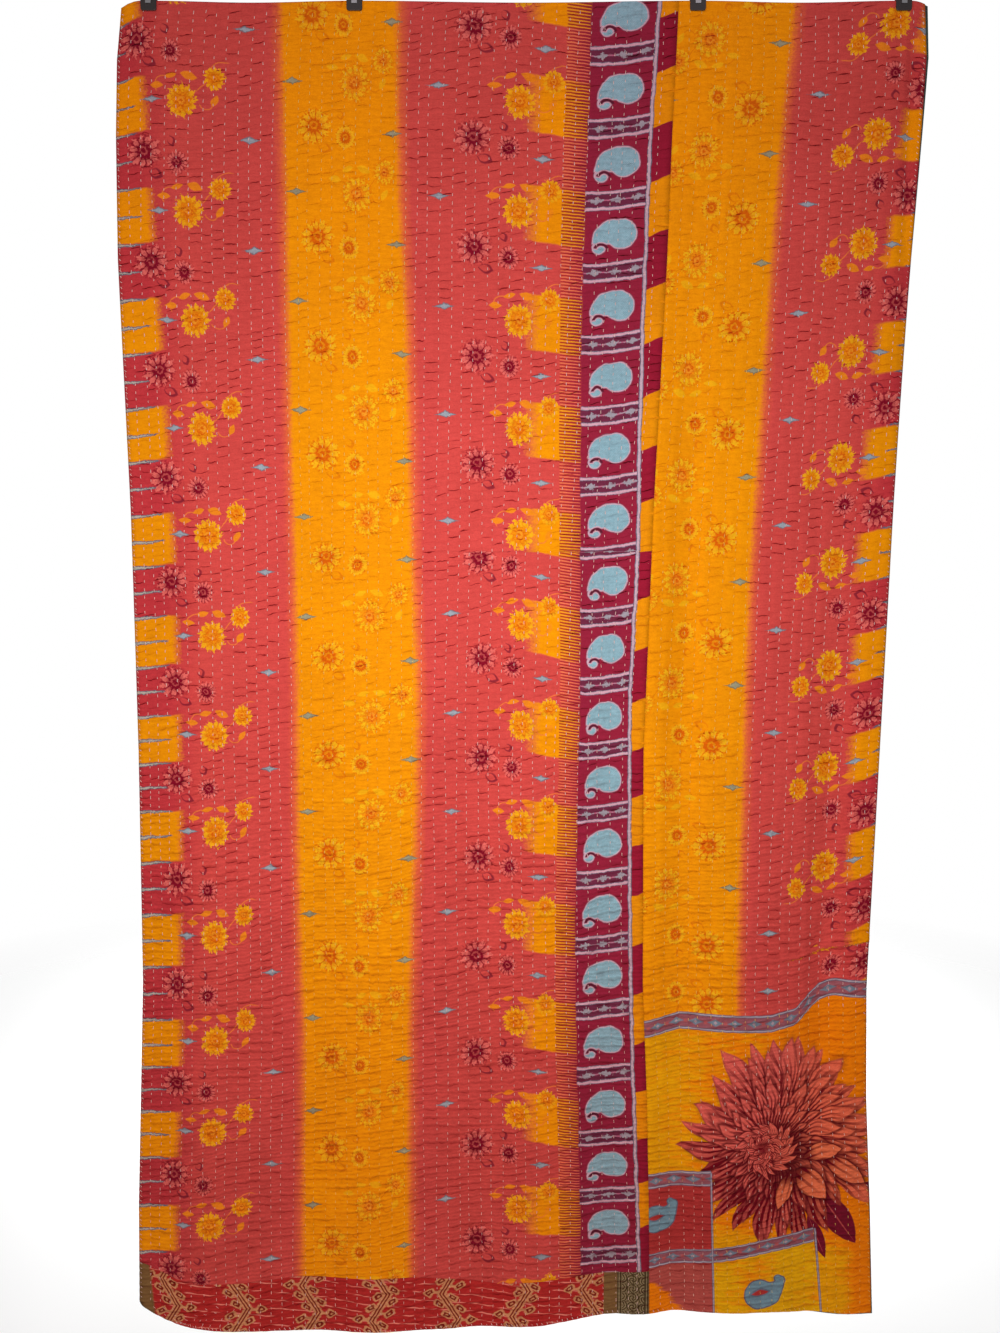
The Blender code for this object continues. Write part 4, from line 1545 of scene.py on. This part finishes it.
strip_values(right_panel, RIGHT_GRID)
print("values on the right panel:", [a.name for a in right_panel.data.attributes if "strip" in a.name])

# %% The large flower
PETAL = dye(244, 106, 94)
WARM_PETAL = dye(250, 116, 84)
PETAL_SHADE = dye(124, 14, 32)
PETAL_LINE = dye(98, 10, 26)
#    centre x, centre down, reach x, reach down, petals, turn, curl, shade
PETAL_RINGS = (
    (0.449, 1.877, 0.190, 0.202, 25, 0.20, 0.1, 0.10),
    (0.446, 1.877, 0.167, 0.178, 25, 0.65, -0.1, 0.05),
    (0.440, 1.878, 0.140, 0.150, 24, 0.10, 0.1, 0.00),
    (0.434, 1.880, 0.112, 0.120, 22, 0.45, 0.0, 0.00),
    (0.427, 1.884, 0.086, 0.092, 19, 0.85, 0.1, 0.00),
    (0.417, 1.890, 0.056, 0.058, 17, 0.70, 3.2, 0.00),
    (0.415, 1.889, 0.046, 0.047, 14, 0.15, 2.6, 0.00),
    (0.413, 1.888, 0.035, 0.036, 11, 0.50, -1.8, 0.05),
    (0.411, 1.887, 0.022, 0.023, 8, 0.90, -0.8, 0.20),
)
DISC_RING = 5  # the first ring of the curled middle
#    x, down, angle, length, width
BROAD_PETALS = (
    (0.4505, 1.9655, 109, 0.074, 0.028),
    (0.5526, 1.9280, 33, 0.086, 0.036),
    (0.5146, 1.9003, -19, 0.070, 0.032),
    (0.4972, 1.9569, 46, 0.078, 0.046),
)


def petal_ring(paint, colour, place, ring, seed):
    """Lays a ring of petals: half width falls as 1 - reach cubed, to a point, with dark edges and veins."""
    x, down, reach_x, reach_down, petals, turn, curl, shade = ring
    moved = paint.moved(place, x, down)
    scaled = paint.vector("MULTIPLY", moved, (1.0 / reach_x, 1.0 / reach_down, 0.0))
    far = paint.length(scaled)
    bend = paint.noise(scaled, 1.9, 1.0) * 0.9 + far * curl
    counted = polar(paint, scaled) * (petals / (2 * math.pi)) + turn + bend
    side = paint.wrap(counted, 1.0)
    luck = paint.luck(counted - side + seed)
    along = far / (0.78 + 0.26 * luck)
    width = (1.0 - along ** 3.0) * 1.6 - 2.0 * paint.size(side)
    veins = paint.math("SINE", side * (17.0 + 7.0 * luck) + luck * 6.0 + along * 1.5)
    streaks = paint.above(veins, 0.15, 0.5) * paint.below(along, 0.92, 0.4)
    low_left = paint.above(paint.dot(moved, -0.45, 0.89), 0.060, 0.06)
    dark = shade + 0.85 * paint.below(along, 0.60, 0.5) + 0.90 * streaks - 0.60 * luck + 0.70 * low_left
    lit = paint.mix(paint.above(paint.split(moved)[0], 0.040, 0.10), PETAL, WARM_PETAL)
    petal = paint.mix(paint.math("ADD", dark, 0.0, clamp=True), lit, PETAL_SHADE)
    outer = min(0.04 * seed, 0.8)  # the two outermost rings cast little shadow on the ground
    petal = paint.mix(paint.below(width, 0.12, 0.14) * (0.3 + 0.6 * outer), petal, PETAL_LINE)
    colour = paint.mix(paint.above(width, -0.22, 0.40) * outer, colour, PETAL_LINE)
    return paint.mix(paint.above(width, 0.0, 0.10), colour, petal)


def broad_petal(paint, colour, place, x, down, angle, long, wide):
    """Lays one broad petal, half width 1 - reach squared, with a dark rim, veins and a soft shadow."""
    along, side = paint.turned(place, x, down, math.radians(angle))
    along = along * (2.0 / long)
    side = side * (2.0 / wide)
    width = 1.0 - along * along - paint.size(side)
    colour = paint.mix(paint.above(width, -0.25, 0.50) * 0.8, colour, PETAL_LINE)
    veins = paint.above(paint.math("SINE", side * 9.0 + along * 1.5), 0.55, 0.6)
    veins = veins * paint.below(along, 0.35, 0.7)
    dark = 0.60 * veins + 0.80 * paint.below(along, -0.45, 0.5)
    petal = paint.mix(paint.math("ADD", dark, 0.0, clamp=True), dye(250, 124, 84), PETAL_SHADE)
    petal = paint.mix(paint.below(width, 0.08, 0.10), petal, PETAL_LINE)
    return paint.mix(paint.above(width, 0.0, 0.06), colour, petal)


#    x, down, angle, length, width
DARK_LEAVES = (
    (0.540, 2.012, 54, 0.118, 0.048),
    (0.509, 2.052, 68, 0.084, 0.024),
    (0.600, 1.968, 10, 0.070, 0.036),
)


def nudge(paint, place, colour):
    """A place moved by a ten-millionth of a colour, too little to see.

    A material can hold only so many values at once. What is read at a nudged place has to wait for the
    colour under it, so the rings of petals are worked out one after another and not all at once.
    """
    return paint.vector("MULTIPLY_ADD", colour, (1e-7, 1e-7, 0.0), place)


def large_flower(paint, colour, place):
    """The large flower with a few dark leaves under it."""
    for x, down, angle, long, wide in DARK_LEAVES:
        mask = leaf(paint, place, x, down, math.radians(angle), long, wide, 0.06)
        colour = paint.mix(mask, colour, dye(128, 26, 48))
        rib = leaf(paint, place, x, down, math.radians(angle), long * 0.9, wide * 0.05, 0.6)
        colour = paint.mix(rib * 0.5, colour, PETAL)
    for number, ring in enumerate(PETAL_RINGS):
        nudged = nudge(paint, place, colour)
        if number == DISC_RING:
            for broad in BROAD_PETALS:
                colour = broad_petal(paint, colour, nudged, *broad)
                nudged = nudge(paint, place, colour)
            shadow = circle(paint, nudged, 0.432, 1.898, 0.056)
            colour = paint.mix(paint.below(shadow, 0.0, 0.030) * 0.9, colour, dye(96, 10, 26))
        colour = petal_ring(paint, colour, nudged, ring, number * 7.3)
    return colour


print("rings of petals:", len(PETAL_RINGS), "petals:", sum(r[4] for r in PETAL_RINGS) + len(BROAD_PETALS))

# %% Strips, compartments and paisleys of the end piece
STRIP_MAUVE = dye(164, 94, 104)
STRIP_BLUE = dye(122, 140, 156)
STRIP_LINE = dye(106, 106, 126)
STRIP_CORE = dye(190, 176, 188)
END_ORANGE = dye(255, 136, 8)
END_YELLOW = dye(246, 172, 12)
SQUARE_YELLOW = dye(246, 184, 14)
END_RED = dye(192, 60, 58)
END_PINK = dye(196, 86, 78)
SPINDLE_STEP = 0.0325  # from spindle to spindle along a mauve strip
FIRST_LINE = 0.322  # x where the first upright line starts
SECOND_LINE = 0.507


def mauve_strip(paint, colour, x, down, tall, there):
    """A strip of spindles between two slate lines, where the mask `there` allows it."""
    off = paint.size(down - tall / 2)
    inside = paint.below(off, tall / 2, 0.0015) * there
    colour = paint.mix(inside, colour, STRIP_MAUVE)
    lozenge = 1.0 - (paint.size(paint.wrap(x, SPINDLE_STEP)) / 0.0140) ** 0.8 - (off / 0.0068) ** 0.8
    star = 1.0 - paint.size(paint.wrap(x, SPINDLE_STEP)) / 0.0030 - off / 0.0034
    colour = paint.mix(paint.above(lozenge, 0.0, 0.3) * there, colour, STRIP_BLUE)
    colour = paint.mix(paint.above(star, 0.0, 0.4) * there * 0.6, colour, dye(208, 170, 178))
    tick = paint.near(paint.wrap(x + SPINDLE_STEP / 2, SPINDLE_STEP), 0.003, 0.002)
    tick = tick * paint.below(off, 0.003, 0.002)
    colour = paint.mix(tick * there * 0.6, colour, dye(210, 96, 90))
    line = paint.near(off - (tall / 2 - 0.0022), 0.0022, 0.0010) * there
    colour = paint.mix(line, colour, STRIP_LINE)
    core = paint.near(off - (tall / 2 - 0.0022), 0.0010, 0.0010) * there
    return paint.mix(core, colour, STRIP_CORE)


def upright_line(paint, colour, x, down, top_x, top_down, lean, tall=0.0036):
    """A thin slate line down the cloth, from a depth to the hem."""
    off = paint.size(x - (down - top_down) * lean - top_x)
    there = paint.above(down, top_down, 0.002)
    colour = paint.mix(paint.below(off, tall / 2, 0.0010) * there, colour, STRIP_LINE)
    return paint.mix(paint.below(off, tall / 5, 0.0010) * there, colour, STRIP_CORE)


#    x, down, radius: a chain of circles from the round body to the curl, in metres from the body's middle
PAISLEY_CHAIN = (
    (0.0, 0.0, 0.0262),
    (0.0150, 0.0010, 0.0215),
    (0.0250, -0.0062, 0.0150),
    (0.0330, -0.0150, 0.0100),
    (0.0372, -0.0238, 0.0076),
    (0.0318, -0.0290, 0.0060),
)


def chained_paisley(paint, colour, place, x, down, scale, tail_turn):
    """A paisley of circles melted together, light blue with a slate rim and a coral lens in its body."""
    moved = paint.moved(place, x, down)
    shape = None
    for at_x, at_down, radius in PAISLEY_CHAIN:
        turned_x = at_x * math.cos(tail_turn) - at_down * math.sin(tail_turn)
        turned_down = at_x * math.sin(tail_turn) + at_down * math.cos(tail_turn)
        far = circle(paint, moved, turned_x * scale, turned_down * scale, radius * scale)
        shape = far if shape is None else paint.math("SMOOTH_MIN", shape, far, 0.004)
    local_x, local_down = paint.split(moved)
    twill = paint.math("SINE", (local_x + local_down) * (2 * math.pi / TWILL))
    fill = paint.mix(paint.above(twill, 0.0, 1.6) * 0.5, dye(112, 148, 164), dye(146, 180, 194))
    colour = paint.mix(paint.below(shape, 0.0010, 0.0012), colour, STRIP_LINE)
    colour = paint.mix(paint.below(shape, -0.0008, 0.0012), colour, fill)
    lens = leaf(paint, moved, 0.001 * scale, -0.003 * scale, -0.15, 0.038 * scale, 0.015 * scale)
    core = leaf(paint, moved, 0.001 * scale, -0.003 * scale, -0.15, 0.030 * scale, 0.0095 * scale)
    colour = paint.mix(lens * 0.7, colour, STRIP_LINE)
    return paint.mix(core, colour, END_RED)


def end_piece(paint, colour, place):
    """Lays the end piece of the sari over the foot of the right panel."""
    x, down = paint.split(place)
    below_strip = [paint.carried(f"strip_{number}") for number in (1, 2, 3)]
    wander = paint.noise(place, 14.0, 2.0) - 0.5
    dyed = paint.noise(paint.vector("MULTIPLY", place, (0.5, 3.2, 0.0)), 52.0, 3.0, 0.6) - 0.5
    low_yellow = paint.above(down, 2.055, 0.06) * paint.below(x, 0.580, 0.05) * 0.30
    to_orange = paint.above(x + wander * 0.14 + dyed * 0.34 - low_yellow, 0.325, 0.16)
    ground = paint.mix(to_orange, END_YELLOW, END_ORANGE)
    colour = paint.mix(paint.above(below_strip[0], 0.001, 0.001), colour, ground)
    colour = large_flower(paint, colour, place)

    first_line = x - (down - 1.932) * 0.035
    second_line = x - (down - 2.068) * 0.091
    left_of_first = paint.below(first_line, FIRST_LINE, 0.0012)
    compartment = left_of_first * paint.above(below_strip[1], 0.004, 0.0012)
    faded = paint.mix(paint.above(down + dyed * 0.04, 2.09, 0.03), END_RED, END_PINK)
    colour = paint.mix(compartment, colour, faded)
    under = down - 0.85 * (x - 0.224) + wander * 0.05 + dyed * 0.03
    patch = left_of_first * paint.above(under, 2.134, 0.012)
    colour = paint.mix(patch * paint.below(x, 0.285, 0.03), colour, END_ORANGE)
    low = paint.above(below_strip[2], 0.004, 0.0012)
    left_of_second = paint.below(second_line, SECOND_LINE, 0.0012)
    square = low * paint.within(first_line, FIRST_LINE, 1.0, 0.001) * left_of_second
    mottled = paint.mix(paint.above(dyed - wander, 0.10, 0.3) * 0.7, SQUARE_YELLOW, END_ORANGE)
    colour = paint.mix(square, colour, mottled)
    colour = chained_paisley(paint, colour, place, 0.2280, 2.0180, 0.92, -0.12)
    colour = chained_paisley(paint, colour, place, 0.4100, 2.1540, 1.0, 0.0)
    colour = mauve_strip(paint, colour, x, below_strip[1], STRIP_TALL[1], left_of_first)
    colour = mauve_strip(paint, colour, x, below_strip[2], STRIP_TALL[2], left_of_second)
    colour = upright_line(paint, colour, x, down, FIRST_LINE, 1.932, 0.035)
    colour = upright_line(paint, colour, x, down, SECOND_LINE, 2.040, 0.085)
    everywhere = paint.above(x, -1.0, 1.0)
    return mauve_strip(paint, colour, x, below_strip[0], STRIP_TALL[0], everywhere)


paint = Paint("right_panel_cotton")
colour, place = sari_print(paint, False)
colour = end_piece(paint, colour, paint.uv("place"))
right_cotton = cloth_finish(paint, colour, place)
print("nodes in the right panel's material:", len(paint.tree.nodes))

# %% [markdown]
# ## The foot strip, the backing and the thread
#
# The foot strip is cut from another sari: deep red, with tan vines, fine broken lines, and an olive end
# band. The backing is one plain dark cotton. The thread is thick, pale and slightly twisted.

# %% Foot strip
VINE_REPEAT = 0.1223
FIRST_VINE = -0.618
FOOT_RED = dye(196, 49, 47)
TAN = dye(216, 150, 104)
VINE_DARK = dye(140, 34, 28)
OLIVE = dye(138, 101, 62)
KHAKI = dye(150, 134, 100)
DARK_KHAKI = dye(80, 62, 40)
#    x and half width of the end band's upright lines
BAND_LINES = ((0.1645, 0.0010), (0.1690, 0.0014), (0.1905, 0.0006), (0.2110, 0.0014), (0.2155, 0.0010))


def vines(paint, colour, x, down):
    """Tan vines: a zigzag stem of two dark lines, with rings at both sides, each third one further out."""
    u = paint.wrap(x - FIRST_VINE, VINE_REPEAT)
    number = (x - FIRST_VINE - u) / VINE_REPEAT
    luck = paint.luck(number + 0.5)
    v = down + luck * 0.08
    zigzag = paint.size(paint.wrap(v, 0.096)) - 0.0240
    off = u - zigzag * 0.62
    apart = paint.size(off)
    which = paint.above(off, 0.0, 0.0002)
    rough = (paint.noise(paint.join(x, down), 300.0, 1.0) - 0.5) * 0.4
    level = paint.size(paint.wrap(v + which * 0.0105, 0.0210))
    shoot = paint.size(paint.wrap(v + which * 0.0105, 0.0630)) / 0.0315
    middle = 0.0150 + 0.0085 * paint.below(shoot, 0.33, 0.02)
    eye = (paint.size(apart - middle) / 0.0102) ** 1.3 + (level / 0.0090) ** 1.3 + rough
    stalk = paint.below(level, 0.0022, 0.0012) * paint.below(apart, middle, 0.002)
    colour = paint.mix(stalk, colour, TAN)
    colour = paint.mix(paint.below(eye, 1.0, 0.20), colour, TAN)
    colour = paint.mix(paint.within(eye, 0.16, 0.56, 0.16), colour, VINE_DARK)
    saw = paint.size(paint.wrap(v, 0.0052))
    colour = paint.mix(paint.below(apart - saw * 0.8, 0.0073, 0.0018), colour, TAN)
    return paint.mix(paint.within(apart, 0.0014, 0.0042, 0.0012), colour, VINE_DARK)


def foot_print(paint, place):
    """Print of the foot strip, by place on the quilt."""
    x, down = paint.split(place)
    broken = paint.noise(paint.vector("MULTIPLY", place, (0.30, 3.0, 0.0)), 130.0, 0.0)
    lines = paint.near(paint.wrap(down + 0.004 - 0.11 * x, 0.0150), 0.0010, 0.0010)
    colour = paint.mix(lines * paint.above(broken, 0.50, 0.08) * 0.9, FOOT_RED, dye(250, 150, 132))
    colour = vines(paint, colour, x, down)
    end = paint.above(x, 0.140, 0.0015)
    colour = paint.mix(end, colour, OLIVE)
    colour = paint.mix(paint.below(x - (down - 2.1) * 0.10, -0.656, 0.004), colour, OLIVE)
    panel = paint.within(x, 0.163, 0.217, 0.0012)
    colour = paint.mix(panel, colour, KHAKI)
    cell = paint.join(paint.wrap(x - 0.190, 0.0200), paint.wrap(down, 0.0165))
    scroll = paint.math("SINE", polar(paint, cell) * 2.0 + paint.length(cell) * 1500.0)
    speckle = paint.noise(place, 420.0, 2.0)
    scrolls = paint.above(scroll + (speckle - 0.5) * 2.0, 0.1, 0.5) * paint.within(x, 0.1715, 0.2095, 0.001)
    colour = paint.mix(scrolls, colour, DARK_KHAKI)
    for at, wide in BAND_LINES:
        colour = paint.mix(paint.near(x - at, wide, 0.0009), colour, DARK_KHAKI)
    return colour


paint = Paint("foot_strip_cotton")
place = paint.uv("place")
foot_cotton = cloth_finish(paint, foot_print(paint, place), place)
print("nodes in the foot strip's material:", len(paint.tree.nodes))

# %% Backing
paint = Paint("backing_cotton")
place = paint.uv("place")
faded = paint.noise(place, 2.4, 4.0)
backing_cotton = cloth_finish(paint, paint.mix(faded, dye(62, 80, 76), dye(92, 110, 104)), place)
print("nodes in the backing's material:", len(paint.tree.nodes))

# %% Thread, plastic and steel


def plain_finish(name, low, high, scale, stretch, rough, bump_height, metallic=0.0):
    """A finish that varies between two colours with a stretched noise, which also makes its fine bump."""
    paint = Paint(name)
    place = paint.vector("MULTIPLY", paint.node("ShaderNodeTexCoord", None, None, "Object"), stretch)
    grain = paint.node("ShaderNodeTexNoise", None, {"Vector": place, "Scale": scale, "Detail": 3.0})
    paint.shader.inputs["Metallic"].default_value = metallic
    return paint.finish(paint.mix(grain, low, high), grain * 0.2 + rough, grain * bump_height)


def thread_finish():
    """Cotton thread: fibres that vary between two pale colours, warmer where the cloth is orange."""
    paint = Paint("cotton_thread")
    place = paint.vector("MULTIPLY", paint.node("ShaderNodeTexCoord", None, None, "Object"), (1.0, 1.0, 0.6))
    twist = paint.node("ShaderNodeTexNoise", None, {"Vector": place, "Scale": 900.0})
    tint = paint.carried("tint")
    fibre = paint.mix(tint, dye(255, 200, 190), dye(255, 204, 84))
    fibre = paint.mix(twist * 0.6, fibre, paint.mix(tint, dye(255, 244, 238), dye(255, 224, 130)))
    return paint.finish(fibre, 0.7 + 0.2 * twist, twist * 0.0002)


thread = thread_finish()
even = (1.0, 1.0, 1.0)
along_x = (0.08, 1.0, 1.0)  # drawn steel has its grain along the spring's width
charcoal = dye(46, 42, 42), dye(64, 58, 56)
bare_steel = dye(176, 176, 178), dye(214, 214, 216)
plastic = plain_finish("moulded_plastic", *charcoal, 1600.0, even, 0.38, 0.00004)
steel = plain_finish("spring_steel", *bare_steel, 700.0, along_x, 0.25, 0.00002, 1.0)
print("plain finishes:", thread.name, plastic.name, steel.name)

# %% [markdown]
# ## Floor
#
# The floor is a wide pale disc half a metre below the hem. Its material thins towards the rim, so no hard
# line crosses the picture and the floor runs into the white surroundings.

# %% Floor
FLOOR_LEVEL = -2.8
FLOOR_REACH = 4.5

turn = np.linspace(0.0, 2 * math.pi, 96, endpoint=False)
level = np.full_like(turn, FLOOR_LEVEL)
rim = np.stack([FLOOR_REACH * np.cos(turn), FLOOR_REACH * np.sin(turn), level], axis=1)
floor_mesh = bpy.data.meshes.new("floor")
floor_mesh.from_pydata(rim, [], [list(range(96))])
floor = bpy.data.objects.new("floor", floor_mesh)
bpy.context.scene.collection.objects.link(floor)
paint = Paint("pale_floor")
far = paint.length(paint.node("ShaderNodeTexCoord", None, None, "Object"))
paint.shader.inputs["Base Color"].default_value = (0.92, 0.92, 0.92, 1.0)
paint.shader.inputs["Roughness"].default_value = 0.9
fade = paint.math("SUBTRACT", 1.0, paint.above(far, 4.35, 1.8))
paint.tree.links.new(fade.socket, paint.shader.inputs["Alpha"])
floor_mesh.materials.append(paint.material)
print("floor at", FLOOR_LEVEL)

# %% [markdown]
# ## Putting the pieces on the frame
#
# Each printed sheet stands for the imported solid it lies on. The flat sizes are what a maker would cut: the
# sewn lengths plus what the stitches take up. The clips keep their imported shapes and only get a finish.

# %% Pieces on the frame
for piece, node, slot_name, material, flat in (
    (left_panel, "left_panel", "left_panel_cloth", left_cotton, (0.90, 2.13)),
    (right_panel, "right_panel", "right_panel_cloth", right_cotton, (0.40, 2.20)),
    (foot_strip, "foot_strip", "foot_strip_cloth", foot_cotton, (0.90, 0.10)),
    (backing, "backing", "backing_cloth", backing_cotton, (1.30, 2.22)),
):
    piece.data.materials.append(material)
    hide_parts(node)
    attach(piece, "root")

for piece, slot_name in (
    (front_stitches, "left_panel_cloth"),
    (edging, "left_panel_cloth"),
    (back_stitches, "backing_cloth"),
):
    piece.data.materials.append(thread)
    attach(piece, "root")

for node, clip_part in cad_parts.items():
    if node.startswith("clip"):
        finish = steel if node.endswith("spring") else plastic
        for material_slot in clip_part.material_slots:
            material_slot.material = finish
print("pieces ready")
